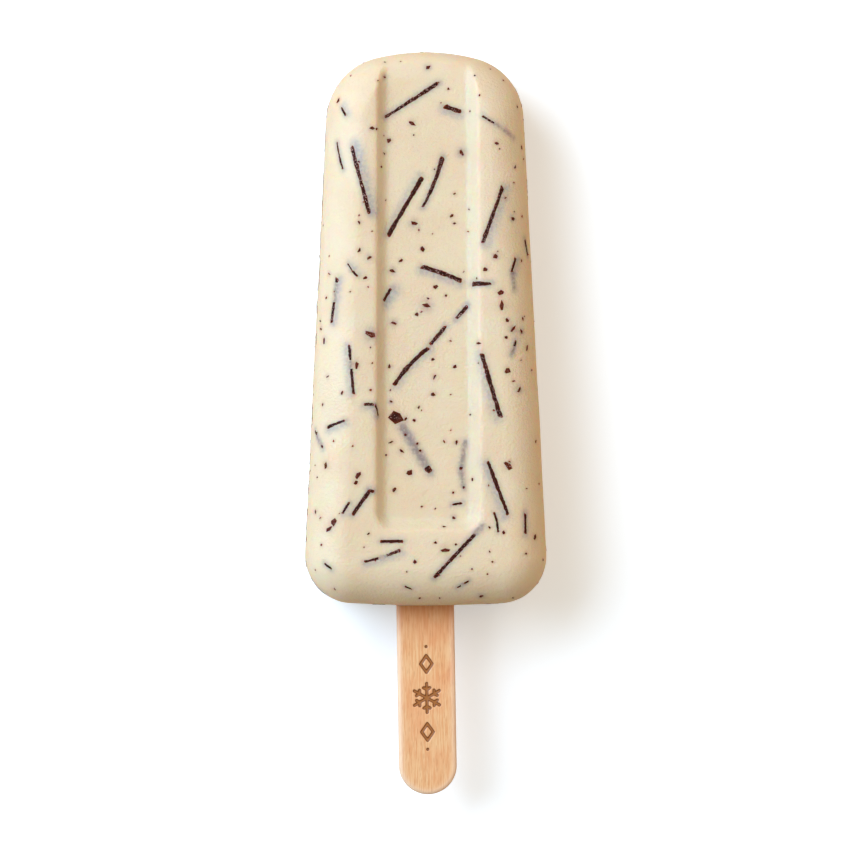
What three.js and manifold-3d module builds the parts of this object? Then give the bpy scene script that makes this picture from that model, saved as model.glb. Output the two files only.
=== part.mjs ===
// A moulded ice cream bar on a flat wooden stick, lying on its back face.
// Millimetres, +Z up. The tip points to +Y and the stick to -Y. The origin is the middle of the
// bounding box's bottom: halfway between tip and stick end, on the centre line, on the resting plane.
//
// The bar is a tapered slab with rounded corners, ends and edges. Each broad face has a sunken panel
// that stops before the base and runs out through the tip, as a mould that is drawn off lengthwise
// leaves it. The slab is thicker at its base, and its back face is the plane z = 0.

import * as THREE from "three";
import { mergeVertices } from "three/addons/utils/BufferGeometryUtils.js";
import Module from "manifold-3d";

// The bar's driving dimensions.
const BAR_LENGTH = 95.8;
const TIP_WIDTH = 33.0; // between the straight sides, carried on to the tip
const BASE_WIDTH = 42.4; // the same at the base
const TIP_THICKNESS = 20.0;
const BASE_THICKNESS = 25.0;
const TIP_BOW_RADIUS = 35.0; // the tip's shallow arc, seen from above
const BASE_BOW_RADIUS = 250.0; // the base's almost straight one
const TIP_CORNER_RADIUS = 11.0;
const BASE_CORNER_RADIUS = 8.0;
const EDGE_RADIUS = 7.0; // from each broad face into the sides

// The sunken panel. Its lip is the edge on the face, and its wall slopes in to a flat floor.
const PANEL_HALF_WIDTH_AT_TIP = 8.9;
const PANEL_HALF_WIDTH_AT_BASE = 9.3;
const PANEL_START = 12.8; // from the base to the lip of the panel's end
const PANEL_DEPTH = 1.8;
const PANEL_WALL_RUN = 2.3; // how far the wall slopes in
const PANEL_CORNER_RADIUS = 3.8; // at the lip
const PANEL_OVERRUN = 6.0; // how far the cutter reaches past the tip

// The stick, a standard one, and the slot that it sits in.
const STICK_LENGTH = 114.0;
const STICK_WIDTH = 10.0;
const STICK_THICKNESS = 2.0;
const STICK_EASING = 0.3; // the rounding along its edges
const STICK_SHOWING = 33.0;
const STICK_LEAN = THREE.MathUtils.degToRad(0.9); // its free end is a little to +X
const SLOT_CLEARANCE = 0.3;

// How finely curves are cut up.
const CORNER_STEPS = 9;
const BOW_STEPS = 8;
const SIDE_STEPS = 8;
const EDGE_STEPS = 8;
const PANEL_CORNER_STEPS = 8;
const PANEL_WALL_STEPS = 5;
const STICK_END_STEPS = 20;
const STICK_EASING_STEPS = 3;

const TOTAL_LENGTH = BAR_LENGTH + STICK_SHOWING;
const BASE_Y = STICK_SHOWING - TOTAL_LENGTH / 2;
const TIP_Y = BASE_Y + BAR_LENGTH;
const SIDE_TAPER = Math.atan((BASE_WIDTH - TIP_WIDTH) / 2 / BAR_LENGTH);
const THICKNESS_SLOPE = (TIP_THICKNESS - BASE_THICKNESS) / BAR_LENGTH;

const GELATO = new THREE.MeshStandardMaterial({ name: "gelato", color: 0xe7d7b9, roughness: 0.45 });
const BIRCH = new THREE.MeshStandardMaterial({ name: "birch", color: 0xedba89, roughness: 0.6 });

const wasm = await Module();
wasm.setup();

// How thick the slab is at a place along its length.
function thicknessAt(y) {
  return BASE_THICKNESS + THICKNESS_SLOPE * (y - BASE_Y);
}

// The centre of a corner arc that touches a straight side and, from inside, an end's bow.
// end is +1 for the tip and -1 for the base.
function cornerCentre(bowCentreY, bowRadius, cornerRadius, end) {
  const normal = new THREE.Vector2(Math.cos(SIDE_TAPER), Math.sin(SIDE_TAPER));
  const along = new THREE.Vector2(-normal.y, normal.x);
  const sideDistance = (BASE_WIDTH / 2) * normal.x + BASE_Y * normal.y;
  const foot = normal.clone().multiplyScalar(sideDistance - cornerRadius);
  const fromBow = foot.clone().sub(new THREE.Vector2(0, bowCentreY));
  const reach = bowRadius - cornerRadius;
  const halfLinear = fromBow.dot(along);
  const travel = -halfLinear + end * Math.sqrt(halfLinear ** 2 - fromBow.lengthSq() + reach ** 2);
  return foot.addScaledVector(along, travel);
}

// Points on an arc, each with its outward normal, from one normal angle to another.
function arcPoints(centre, radius, fromAngle, toAngle, steps) {
  return Array.from({ length: steps + 1 }, (_, i) => {
    const angle = THREE.MathUtils.lerp(fromAngle, toAngle, i / steps);
    const normal = new THREE.Vector2(Math.cos(angle), Math.sin(angle));
    return { point: centre.clone().addScaledVector(normal, radius), normal };
  });
}

// The slab's outline seen from above, counterclockwise, as points with outward normals.
function slabOutline() {
  const tipBow = new THREE.Vector2(0, TIP_Y - TIP_BOW_RADIUS);
  const baseBow = new THREE.Vector2(0, BASE_Y + BASE_BOW_RADIUS);
  const tipCorner = cornerCentre(tipBow.y, TIP_BOW_RADIUS, TIP_CORNER_RADIUS, 1);
  const baseCorner = cornerCentre(baseBow.y, BASE_BOW_RADIUS, BASE_CORNER_RADIUS, -1);
  const tipTurn = tipCorner.clone().sub(tipBow).angle();
  const baseTurn = baseCorner.clone().sub(baseBow).angle() - 2 * Math.PI;

  const basePart = [
    ...arcPoints(baseBow, BASE_BOW_RADIUS, -Math.PI / 2, baseTurn, BOW_STEPS / 2).slice(0, -1),
    ...arcPoints(baseCorner, BASE_CORNER_RADIUS, baseTurn, SIDE_TAPER, CORNER_STEPS),
  ];
  const tipPart = [
    ...arcPoints(tipCorner, TIP_CORNER_RADIUS, SIDE_TAPER, tipTurn, CORNER_STEPS).slice(0, -1),
    ...arcPoints(tipBow, TIP_BOW_RADIUS, tipTurn, Math.PI / 2, BOW_STEPS / 2),
  ];
  const sideFrom = basePart.at(-1);
  const sideTo = tipPart[0];
  const side = Array.from({ length: SIDE_STEPS - 1 }, (_, i) => ({
    point: sideFrom.point.clone().lerp(sideTo.point, (i + 1) / SIDE_STEPS),
    normal: sideFrom.normal,
  }));
  const right = [...basePart, ...side, ...tipPart];
  const left = right.slice(1, -1).reverse().map(({ point, normal }) => ({
    point: new THREE.Vector2(-point.x, point.y),
    normal: new THREE.Vector2(-normal.x, normal.y),
  }));
  return [...right, ...left];
}

// A closed solid from a stack of rings of equal length, lowest first, each counterclockwise seen
// from above. The first and last ring are closed by flat caps.
function solidFromRings(rings) {
  const size = rings[0].length;
  const positions = rings.flat().flatMap((p) => [p.x, p.y, p.z]);
  const index = [];
  for (let k = 0; k + 1 < rings.length; k += 1) {
    for (let i = 0; i < size; i += 1) {
      const j = (i + 1) % size;
      const low = k * size;
      const high = low + size;
      index.push(low + i, low + j, high + j, low + i, high + j, high + i);
    }
  }
  const cap = (ring) => THREE.ShapeUtils.triangulateShape(ring.map((p) => new THREE.Vector2(p.x, p.y)), []);
  const top = (rings.length - 1) * size;
  cap(rings[0]).forEach(([a, b, c]) => index.push(c, b, a));
  cap(rings.at(-1)).forEach(([a, b, c]) => index.push(top + a, top + b, top + c));
  const geometry = new THREE.BufferGeometry();
  geometry.setAttribute("position", new THREE.Float32BufferAttribute(positions, 3));
  geometry.setIndex(index);
  return toSolid(geometry);
}

// A closed geometry as a manifold-3d solid.
function toSolid(geometry) {
  const bare = geometry.clone();
  bare.deleteAttribute("normal");
  bare.deleteAttribute("uv");
  const merged = mergeVertices(bare, 1e-4);
  return new wasm.Manifold(
    new wasm.Mesh({
      numProp: 3,
      vertProperties: merged.attributes.position.array,
      triVerts: new Uint32Array(merged.index.array),
    }),
  );
}

// A manifold-3d solid as a geometry with flat facets.
function toGeometry(solid) {
  const mesh = solid.getMesh();
  const geometry = new THREE.BufferGeometry();
  geometry.setAttribute("position", new THREE.BufferAttribute(mesh.vertProperties, mesh.numProp));
  geometry.setIndex(new THREE.BufferAttribute(mesh.triVerts, 1));
  geometry.computeVertexNormals();
  return geometry;
}

// The slab before anything is cut from it: outlines stacked from the back face to the front one,
// drawn in along their normals where the edges round over.
function slab() {
  const outline = slabOutline();
  const ring = (edgeAngle, face) =>
    outline.map(({ point, normal }) => {
      const inset = EDGE_RADIUS * (1 - Math.cos(edgeAngle));
      const { x, y } = point.clone().addScaledVector(normal, -inset);
      const half = thicknessAt(y) / 2;
      return new THREE.Vector3(x, y, half + face * (half - EDGE_RADIUS * (1 - Math.sin(edgeAngle))));
    });
  const angles = Array.from({ length: EDGE_STEPS + 1 }, (_, i) => (i / EDGE_STEPS) * (Math.PI / 2));
  const back = angles.toReversed().map((angle) => ring(angle, -1));
  const front = angles.map((angle) => ring(angle, 1));
  return solidFromRings([...back, ...front]);
}

// The outline of the sunken panel, drawn in by some distance: two sides that spread a little
// towards the base, and an end with round corners. It runs past the tip.
function panelOutline(inset) {
  const endY = BASE_Y + PANEL_START + inset;
  const openY = TIP_Y + PANEL_OVERRUN;
  const radius = PANEL_CORNER_RADIUS - inset;
  const baseHalf = PANEL_HALF_WIDTH_AT_BASE - inset;
  const tipHalf = PANEL_HALF_WIDTH_AT_TIP - inset;
  const corner = arcPoints(
    new THREE.Vector2(baseHalf - radius, endY + radius),
    radius,
    -Math.PI / 2,
    0,
    PANEL_CORNER_STEPS,
  ).map(({ point }) => point);
  const right = [...corner, new THREE.Vector2(tipHalf, openY)];
  return [...right, ...right.toReversed().map((p) => new THREE.Vector2(-p.x, p.y))];
}

// What the panel takes out of one broad face: +1 for the front and -1 for the back.
// The wall follows a soft S from the floor to the lip, and carries on above the face.
function panelCutter(face) {
  const softStep = (t) => t * t * (3 - 2 * t);
  const ring = (inset, depth) =>
    panelOutline(inset).map(({ x, y }) => {
      const half = thicknessAt(y) / 2;
      return new THREE.Vector3(x, y, half + face * (half - depth));
    });
  const wall = Array.from({ length: PANEL_WALL_STEPS + 1 }, (_, i) => {
    const rise = i / PANEL_WALL_STEPS;
    return ring(PANEL_WALL_RUN * (1 - rise), PANEL_DEPTH * (1 - softStep(rise)));
  });
  const above = ring(-PANEL_WALL_RUN / 2, -PANEL_DEPTH / 2);
  const rings = [...wall, above];
  return solidFromRings(face > 0 ? rings : rings.toReversed());
}

// A flat stick with round ends and eased edges, standing off its true size by some clearance. It
// lies in the slab's middle plane, rising with it towards the base, and its free end leans to +X.
function stickGeometry(clearance) {
  const half = STICK_WIDTH / 2 + clearance;
  const straight = STICK_LENGTH / 2 - STICK_WIDTH / 2;
  const easing = STICK_EASING;
  const shape = new THREE.Shape();
  shape.absarc(0, straight, half, 0, Math.PI, false);
  shape.absarc(0, -straight, half, Math.PI, 2 * Math.PI, false);
  const thickness = STICK_THICKNESS + 2 * clearance;
  const geometry = new THREE.ExtrudeGeometry(shape, {
    depth: thickness - 2 * easing,
    bevelThickness: easing,
    bevelSize: easing,
    bevelOffset: -easing,
    bevelSegments: STICK_EASING_STEPS,
    curveSegments: STICK_END_STEPS,
  });
  geometry.translate(0, STICK_LENGTH / 2 - STICK_SHOWING, easing - thickness / 2);
  geometry.rotateZ(STICK_LEAN);
  geometry.rotateX(Math.atan(THICKNESS_SLOPE / 2));
  geometry.translate(0, BASE_Y, BASE_THICKNESS / 2);
  return geometry;
}

// The bar: the slab less its two panels and the stick's slot.
function barGeometry() {
  const solid = slab()
    .subtract(panelCutter(1))
    .subtract(panelCutter(-1))
    .subtract(toSolid(stickGeometry(SLOT_CLEARANCE)));
  return toGeometry(solid);
}

function named(name, geometry, material) {
  const mesh = new THREE.Mesh(geometry, material);
  mesh.name = name;
  return mesh;
}

const iceCreamBar = new THREE.Group();
iceCreamBar.add(named("gelato_bar", barGeometry(), GELATO));
iceCreamBar.add(named("wooden_stick", stickGeometry(0), BIRCH));

export default iceCreamBar;
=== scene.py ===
"""Looks for a moulded bar of chocolate-flecked gelato on a flat birch stick, lying on its back face.

Shapes are worked out in millimetres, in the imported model's own frame, and put into Blender in metres:
+Y points to the bar's tip, +Z up out of the face that shows, and the bar rests on the plane z = 0.
"""

import logging
import math
from collections.abc import Sequence
from dataclasses import dataclass, field
from enum import Enum

import bpy
import numpy as np
from mathutils import Matrix, Vector


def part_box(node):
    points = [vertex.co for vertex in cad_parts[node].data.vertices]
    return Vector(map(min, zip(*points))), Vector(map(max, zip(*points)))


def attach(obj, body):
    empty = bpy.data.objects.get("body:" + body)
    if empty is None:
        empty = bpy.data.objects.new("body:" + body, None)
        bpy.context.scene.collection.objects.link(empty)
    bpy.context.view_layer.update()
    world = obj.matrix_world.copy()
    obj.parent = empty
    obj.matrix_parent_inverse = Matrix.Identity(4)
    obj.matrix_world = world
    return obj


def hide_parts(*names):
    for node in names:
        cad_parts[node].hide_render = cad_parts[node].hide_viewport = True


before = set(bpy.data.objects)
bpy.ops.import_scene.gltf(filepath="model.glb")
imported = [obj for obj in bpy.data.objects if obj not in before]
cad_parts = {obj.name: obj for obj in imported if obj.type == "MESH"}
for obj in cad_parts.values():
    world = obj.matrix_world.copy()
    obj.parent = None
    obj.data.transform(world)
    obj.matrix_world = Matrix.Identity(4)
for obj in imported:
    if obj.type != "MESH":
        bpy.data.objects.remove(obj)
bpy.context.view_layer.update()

log = logging.getLogger("gelato_bar")

Array = np.ndarray
Faces = list[tuple[int, ...]]
Span = tuple[float, float]
Triple = tuple[float, float, float]

MM = 0.001  # metres in a millimetre
TINY = 1e-9  # stands in for zero where something is divided
FAR = 1.0e3  # farther than anything on the bar, in millimetres


# ---------------------------------------------------------------------------------------------------
# Arithmetic on many points at once


def unit(vectors: Array) -> Array:
    """The vectors, each at length one."""
    return vectors / np.maximum(np.linalg.norm(vectors, axis=-1, keepdims=True), TINY)


def soft_step(share: Array) -> Array:
    """A smooth rise from 0 to 1 as the share goes from 0 to 1, flat outside."""
    held = np.clip(share, 0.0, 1.0)
    return held * held * (3.0 - 2.0 * held)


def soft_ramp(value: Array, softness: Array | float) -> Array:
    """The value where it is above zero and zero elsewhere, with the corner rounded off."""
    return 0.5 * (value + np.sqrt(value * value + softness * softness))


def tube_faces(stations: int, loop: int) -> Faces:
    """The faces of a closed tube: round its loops of points, and over its two ends.

    Args:
        stations: how many loops it has.
        loop: how many points each loop has.

    Returns:
        The point numbers of each face.
    """
    following = [(i + 1) % loop for i in range(loop)]
    made: Faces = []
    for start in range(0, (stations - 1) * loop, loop):
        end = start + loop
        made += [(start + i, end + i, end + j, start + j) for i, j in enumerate(following)]
    made.append(tuple(range(loop)))
    made.append(tuple((stations - 1) * loop + i for i in range(loop))[::-1])
    return made


class LatticeNoise:
    """Smooth, repeatable noise between -1 and 1 in space, made from a lattice of random values."""

    def __init__(self, seed: int, cells: int = 32) -> None:
        """Draws the lattice.

        Args:
            seed: what the random values are drawn from.
            cells: how many lattice cells pass before the noise repeats.
        """
        self.cells = cells
        self.values = np.random.default_rng(seed).uniform(-1.0, 1.0, (cells, cells, cells))

    def at(self, points: Array, grain: float) -> Array:
        """The noise at some points.

        Args:
            points: one row of three numbers for each point.
            grain: the size of one lattice cell, in the points' unit.

        Returns:
            One value for each point.
        """
        scaled = points / grain
        low = np.floor(scaled).astype(int)
        share = scaled - low
        ease = share * share * (3.0 - 2.0 * share)
        total = np.zeros(len(points))
        for step in np.ndindex(2, 2, 2):
            i, j, k = ((low + step) % self.cells).T
            total += np.prod(np.where(step, ease, 1.0 - ease), axis=1) * self.values[i, j, k]
        return total


# ---------------------------------------------------------------------------------------------------
# The form of the pieces, in millimetres


@dataclass(frozen=True)
class Corner:
    """A round corner of the bar's outline: its centre, radius, and the normal angles it spans."""

    x: float
    y: float
    radius: float
    from_turn: float
    to_turn: float


@dataclass(frozen=True)
class StickForm:
    """A standard flat stick: its size, where it enters the bar, and how it leans."""

    entry_y: float
    entry_z: float
    slope: float
    length: float = 114.0
    width: float = 10.0
    thickness: float = 2.0
    showing: float = 33.0
    lean: float = math.radians(0.9)

    def turn(self) -> Array:
        """Works out how the stick lies.

        Returns:
            The matrix that turns the stick's own axes into the bar's.
        """
        lean_cos, lean_sin = math.cos(self.lean), math.sin(self.lean)
        tilt_cos, tilt_sin = math.cos(self.slope), math.sin(self.slope)
        leaning = np.array([[lean_cos, -lean_sin, 0.0], [lean_sin, lean_cos, 0.0], [0.0, 0.0, 1.0]])
        tilting = np.array([[1.0, 0.0, 0.0], [0.0, tilt_cos, -tilt_sin], [0.0, tilt_sin, tilt_cos]])
        return tilting @ leaning

    def to_bar(self, points: Array) -> Array:
        """Points on the stick (across, along, through) in the bar's frame. Along is 0 at the base."""
        return points @ self.turn().T + [0.0, self.entry_y, self.entry_z]

    def from_bar(self, points: Array) -> Array:
        """Points of the bar's frame in the stick's own (across, along, through)."""
        return (points - [0.0, self.entry_y, self.entry_z]) @ self.turn()


@dataclass(frozen=True)
class BarForm:
    """The bar's outer form: a tapered slab with round edges and a sunken panel on each broad face.

    The form is kept as a field that is zero on the surface, negative inside and close to a distance.
    """

    base_y: float
    tip_y: float
    tip_width: float = 33.0
    base_width: float = 42.4
    tip_thickness: float = 20.0
    base_thickness: float = 25.0
    tip_bow: float = 35.0
    base_bow: float = 250.0
    tip_corner: float = 11.0
    base_corner: float = 8.0
    edge: float = 7.0
    panel_half_at_tip: float = 8.55
    panel_half_at_base: float = 8.95
    panel_start: float = 13.2
    panel_depth: float = 2.05
    panel_wall: float = 2.0
    panel_ease: float = 1.8
    panel_corner: float = 2.9
    panel_lip: float = 0.4
    panel_fade: float = 0.9
    wobble: float = 0.07
    wobble_grain: float = 9.0
    ripple: float = 0.018
    ripple_grain: float = 1.7
    collar_stand_off: float = 0.06
    collar_reach: float = 0.1
    collar_fillet: float = 0.4
    noise: LatticeNoise = field(default_factory=lambda: LatticeNoise(seed=11))

    PROBE = 0.06
    LEAST_STEEPNESS = 0.2
    LONGEST_PULL = 1.5
    HEADROOM = 1.0
    HALVINGS = 24

    @property
    def length(self) -> float:
        """From base to tip."""
        return self.tip_y - self.base_y

    @property
    def taper(self) -> float:
        """How far each straight side turns in from the bar's length, in radians."""
        return math.atan((self.base_width - self.tip_width) / 2.0 / self.length)

    @property
    def slope(self) -> float:
        """How much thickness changes with each step towards the tip."""
        return (self.tip_thickness - self.base_thickness) / self.length

    def stick(self) -> StickForm:
        """The stick that the bar is moulded round, in the slab's middle plane."""
        return StickForm(self.base_y, self.base_thickness / 2.0, math.atan(self.slope / 2.0))

    def thickness_at(self, y: Array) -> Array:
        """The slab's thickness at places along its length."""
        return self.base_thickness + self.slope * (y - self.base_y)

    def corner_at(self, end: int) -> Corner:
        """The corner that rounds a straight side into an end.

        Args:
            end: +1 for the tip and -1 for the base.

        Returns:
            The corner on the +X side.
        """
        bow, radius = (self.tip_bow, self.tip_corner) if end > 0 else (self.base_bow, self.base_corner)
        bow_y = self.tip_y - bow if end > 0 else self.base_y + bow
        normal = np.array([math.cos(self.taper), math.sin(self.taper)])
        along = np.array([-normal[1], normal[0]])
        side = self.base_width / 2.0 * normal[0] + self.base_y * normal[1]
        foot = normal * (side - radius)
        from_bow = foot - [0.0, bow_y]
        middle = float(from_bow @ along)
        travel = -middle + end * math.sqrt(middle**2 - float(from_bow @ from_bow) + (bow - radius) ** 2)
        centre = foot + along * travel
        turn = math.atan2(centre[1] - bow_y, centre[0])
        spans = (self.taper, turn) if end > 0 else (turn, self.taper)
        return Corner(float(centre[0]), float(centre[1]), radius, *spans)

    def outline_distance(self, x: Array, y: Array) -> Array:
        """Measures from the outline that is seen from above.

        Args:
            x: places across the bar.
            y: places along it.

        Returns:
            How far outside the outline each place is, negative inside.
        """
        across = np.abs(x)
        side = self.base_width / 2.0 * math.cos(self.taper) + self.base_y * math.sin(self.taper)
        distance = across * math.cos(self.taper) + y * math.sin(self.taper) - side
        for end, bow, bow_y in (
            (1, self.tip_bow, self.tip_y - self.tip_bow),
            (-1, self.base_bow, self.base_y + self.base_bow),
        ):
            corner = self.corner_at(end)
            bow_turn = corner.to_turn if end > 0 else corner.from_turn
            facing_end = end * (np.arctan2(y - bow_y, across) - bow_turn) > 0.0
            from_bow = np.hypot(across, y - bow_y) - bow
            distance = np.where(facing_end, np.maximum(distance, from_bow), distance)
            off_x, off_y = across - corner.x, y - corner.y
            turn = np.arctan2(off_y, off_x)
            inside = (turn > corner.from_turn) & (turn < corner.to_turn)
            distance = np.where(inside, np.hypot(off_x, off_y) - corner.radius, distance)
        return distance

    def panel_profile(self, x: Array, y: Array) -> Array:
        """How deep the panel is sunk in an endless slab.

        The wall is steepest at the lip and eases into the floor, as a mould's rounded core leaves it.

        Args:
            x: places across the bar.
            y: places along it.

        Returns:
            A share for each place: 0 outside the lip and 1 on the floor.
        """
        run = (y - self.base_y) / self.length
        half = self.panel_half_at_base + (self.panel_half_at_tip - self.panel_half_at_base) * run
        from_side = half - np.abs(x)
        from_end = y - (self.base_y + self.panel_start)
        rounded = self.panel_corner - np.hypot(
            np.maximum(self.panel_corner - from_side, 0.0), np.maximum(self.panel_corner - from_end, 0.0)
        )
        inside = np.where(rounded < self.panel_corner, rounded, np.minimum(from_side, from_end))
        share = np.minimum(soft_ramp(inside, self.panel_lip) / self.panel_wall, 1.0)
        return 1.0 - (1.0 - share) ** self.panel_ease

    def bare(self, points: Array) -> Array:
        """The field of the smooth moulded form, with its panels but with no unevenness.

        Args:
            points: places in space.

        Returns:
            The field at each place.
        """
        x, y, z = points.T
        middle = self.thickness_at(y) / 2.0
        inset = self.outline_distance(x, y) + self.edge
        above = np.abs(z - middle) - middle + self.edge
        outer = np.hypot(np.maximum(inset, 0.0), np.maximum(above, 0.0))
        slab = outer + np.minimum(np.maximum(inset, above), 0.0) - self.edge
        facing = np.where(outer > 0.0, np.maximum(above, 0.0) / np.maximum(outer, TINY), above > inset)
        curl = np.clip(inset, 0.0, self.edge)
        drop = self.edge - np.sqrt(self.edge**2 - curl**2)
        profile = self.panel_profile(x, y)
        softness = self.panel_fade * np.minimum(drop, 1.0) * profile
        sunk = soft_ramp(self.panel_depth * profile - drop, softness) * (profile > TINY)
        return slab + sunk * facing

    def field(self, points: Array) -> Array:
        """The field of the finished bar: the moulded form, slightly uneven, with its collar of gelato
        where it has crept a little way along the stick.

        Args:
            points: places in space.

        Returns:
            The field at each place.
        """
        uneven = self.wobble * self.noise.at(points, self.wobble_grain)
        uneven += self.ripple * self.noise.at(points[:, [1, 2, 0]], self.ripple_grain)
        bar = self.bare(points) - uneven
        stick = self.stick()
        across, along, through = stick.from_bar(points).T
        reach_x = np.abs(across) - stick.width / 2.0 - self.collar_stand_off
        reach_z = np.abs(through) - stick.thickness / 2.0 - self.collar_stand_off
        reach_y = np.abs(along) - self.collar_reach
        collar = np.maximum(np.maximum(reach_x, reach_z), reach_y)
        return bar - soft_ramp(bar - collar, self.collar_fillet)

    def gradient(self, points: Array) -> Array:
        """How fast the field grows along each axis.

        Args:
            points: places in space.

        Returns:
            Three numbers for each place.
        """
        steps = self.PROBE * np.eye(3)
        slopes = [self.field(points + step) - self.field(points - step) for step in steps]
        return np.stack(slopes, axis=1) / (2.0 * self.PROBE)

    def normals(self, points: Array) -> Array:
        """The outward directions of the field at some points."""
        return unit(self.gradient(points))

    def seats(self, places: Sequence[tuple[float, ...]]) -> Array:
        """Places on the surface.

        Args:
            places: each is three numbers close to the surface, or two that are seen from straight above.

        Returns:
            One point on the surface for each place.
        """
        spots = np.array([place if len(place) == 3 else (*place, 0.0) for place in places], dtype=float)
        flat = np.array([len(place) == 2 for place in places])
        x, y = spots[flat, 0], spots[flat, 1]
        low, high = self.thickness_at(y) / 2.0, self.thickness_at(y) + self.HEADROOM
        for _ in range(self.HALVINGS):
            middle = (low + high) / 2.0
            outside = self.field(np.stack([x, y, middle], axis=1)) > 0.0
            low, high = np.where(outside, low, middle), np.where(outside, middle, high)
        spots[flat, 2] = low
        return self.settle(spots)

    def settle(self, points: Array, rounds: int = 4) -> Array:
        """Moves points on to the surface, along the field's steepest way.

        Args:
            points: places near the surface.
            rounds: how often they are moved.

        Returns:
            The points on the surface.
        """
        for _ in range(rounds):
            slopes = self.gradient(points)
            pull = self.field(points) / np.maximum((slopes**2).sum(axis=1), self.LEAST_STEEPNESS)
            points = points - slopes * np.clip(pull, -self.LONGEST_PULL, self.LONGEST_PULL)[:, None]
        return points


@dataclass(frozen=True)
class SurfaceNet:
    """Meshes the zero surface of a field with a net of even four-sided faces."""

    cell: float = 0.385
    relax_rounds: int = 3
    settle_rounds: int = 2

    def knit(self, form: BarForm, low: Array, high: Array) -> tuple[Array, Array]:
        """Finds the cells that the surface passes through and joins their points.

        Args:
            form: the form whose field is meshed.
            low: the lowest corner of the space to look in.
            high: the highest corner of it.

        Returns:
            The points, and four point numbers for each face.
        """
        ticks = [np.arange(a, b + self.cell, self.cell) for a, b in zip(low, high)]
        grid = np.stack(np.meshgrid(*ticks, indexing="ij"), axis=-1)
        value = form.field(grid.reshape(-1, 3)).reshape(grid.shape[:3])
        inside = value < 0.0
        corners = list(np.ndindex(2, 2, 2))
        size = [n - 1 for n in value.shape]

        def shifted(values: Array, step: tuple[int, ...]) -> Array:
            """The values at one corner of every cell."""
            spans = tuple(slice(s, s + n) for s, n in zip(step, size))
            return values[spans]

        filled = sum(shifted(inside, c).astype(int) for c in corners)
        active = (filled > 0) & (filled < len(corners))
        total = np.zeros((int(active.sum()), 3))
        count = np.zeros(len(total))
        for first in corners:
            for axis in range(3):
                if first[axis]:
                    continue
                second = tuple(v + (i == axis) for i, v in enumerate(first))
                value_a, value_b = shifted(value, first)[active], shifted(value, second)[active]
                crossed = (value_a < 0.0) != (value_b < 0.0)
                share = np.where(crossed, value_a / np.where(crossed, value_a - value_b, 1.0), 0.0)
                start, end = shifted(grid, first)[active], shifted(grid, second)[active]
                total += np.where(crossed[:, None], start + (end - start) * share[:, None], 0.0)
                count += crossed
        points = total / count[:, None]
        number = np.full(active.shape, -1)
        number[active] = np.arange(len(points))
        return points, np.concatenate([self.faces_along(axis, inside, number) for axis in range(3)])

    def faces_along(self, axis: int, inside: Array, number: Array) -> Array:
        """The faces that cross the grid's edges along one axis.

        Args:
            axis: the axis's number.
            inside: for each point of the grid, whether it is inside the form.
            number: for each cell, the number of its point.

        Returns:
            Four point numbers for each face, turned outwards.
        """
        near = [slice(None)] * 3
        far = [slice(None)] * 3
        near[axis], far[axis] = slice(0, -1), slice(1, None)
        crossed = inside[tuple(near)] != inside[tuple(far)]
        leaving = inside[tuple(near)][crossed]
        place = np.argwhere(crossed)
        side, rise = (axis + 1) % 3, (axis + 2) % 3
        ring = []
        for step_side, step_rise in ((1, 1), (0, 1), (0, 0), (1, 0)):
            cell = place.copy()
            cell[:, side] -= step_side
            cell[:, rise] -= step_rise
            ring.append(number[tuple(cell.T)])
        faces = np.stack(ring, axis=1)
        return np.where(leaving[:, None], faces, faces[:, ::-1])

    def even_out(self, form: BarForm, points: Array, faces: Array) -> Array:
        """Spreads the points evenly over the surface.

        Args:
            form: the form whose surface it is.
            points: the points.
            faces: four point numbers for each face.

        Returns:
            The points, evened out and brought back on to the surface.
        """
        pairs = np.concatenate([faces[:, [i, (i + 1) % 4]] for i in range(4)])
        for _ in range(self.relax_rounds):
            total = np.zeros_like(points)
            count = np.zeros(len(points))
            np.add.at(total, pairs[:, 0], points[pairs[:, 1]])
            np.add.at(count, pairs[:, 0], 1.0)
            points = form.settle(0.5 * (points + total / count[:, None]), self.settle_rounds)
        return form.settle(points, self.settle_rounds)


def mesh_piece(name: str, points: Array, faces: Array | Faces) -> bpy.types.Object:
    """Makes a smooth-shaded mesh piece that rides on the bar's body.

    Args:
        name: the piece's name.
        points: its points, in millimetres.
        faces: the point numbers of each face, turned outwards.

    Returns:
        The new object.
    """
    mesh = bpy.data.meshes.new(name)
    listed = faces.tolist() if isinstance(faces, np.ndarray) else faces
    mesh.from_pydata((points * MM).tolist(), [], listed)
    mesh.validate()
    mesh.shade_smooth()
    piece = bpy.data.objects.new(name, mesh)
    bpy.context.scene.collection.objects.link(piece)
    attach(piece, "root")
    return piece


def paint(piece: bpy.types.Object, name: str, values: Array) -> None:
    """Stores a value for each of a piece's points, for its material to read by name."""
    layer = piece.data.attributes.new(name, "FLOAT", "POINT")
    layer.data.foreach_set("value", values.astype(np.float32))


# ---------------------------------------------------------------------------------------------------
# Finishes


def tone(code: str) -> tuple[float, float, float, float]:
    """Turns a display colour into the linear one that a shader takes, by the sRGB standard's curve.

    Args:
        code: the colour, as six hexadecimal digits.

    Returns:
        Its red, green, blue and alpha.
    """
    levels = [int(code[i : i + 2], 16) / 255.0 for i in (0, 2, 4)]
    linear = [v / 12.92 if v <= 0.04045 else ((v + 0.055) / 1.055) ** 2.4 for v in levels]
    return (linear[0], linear[1], linear[2], 1.0)


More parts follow.
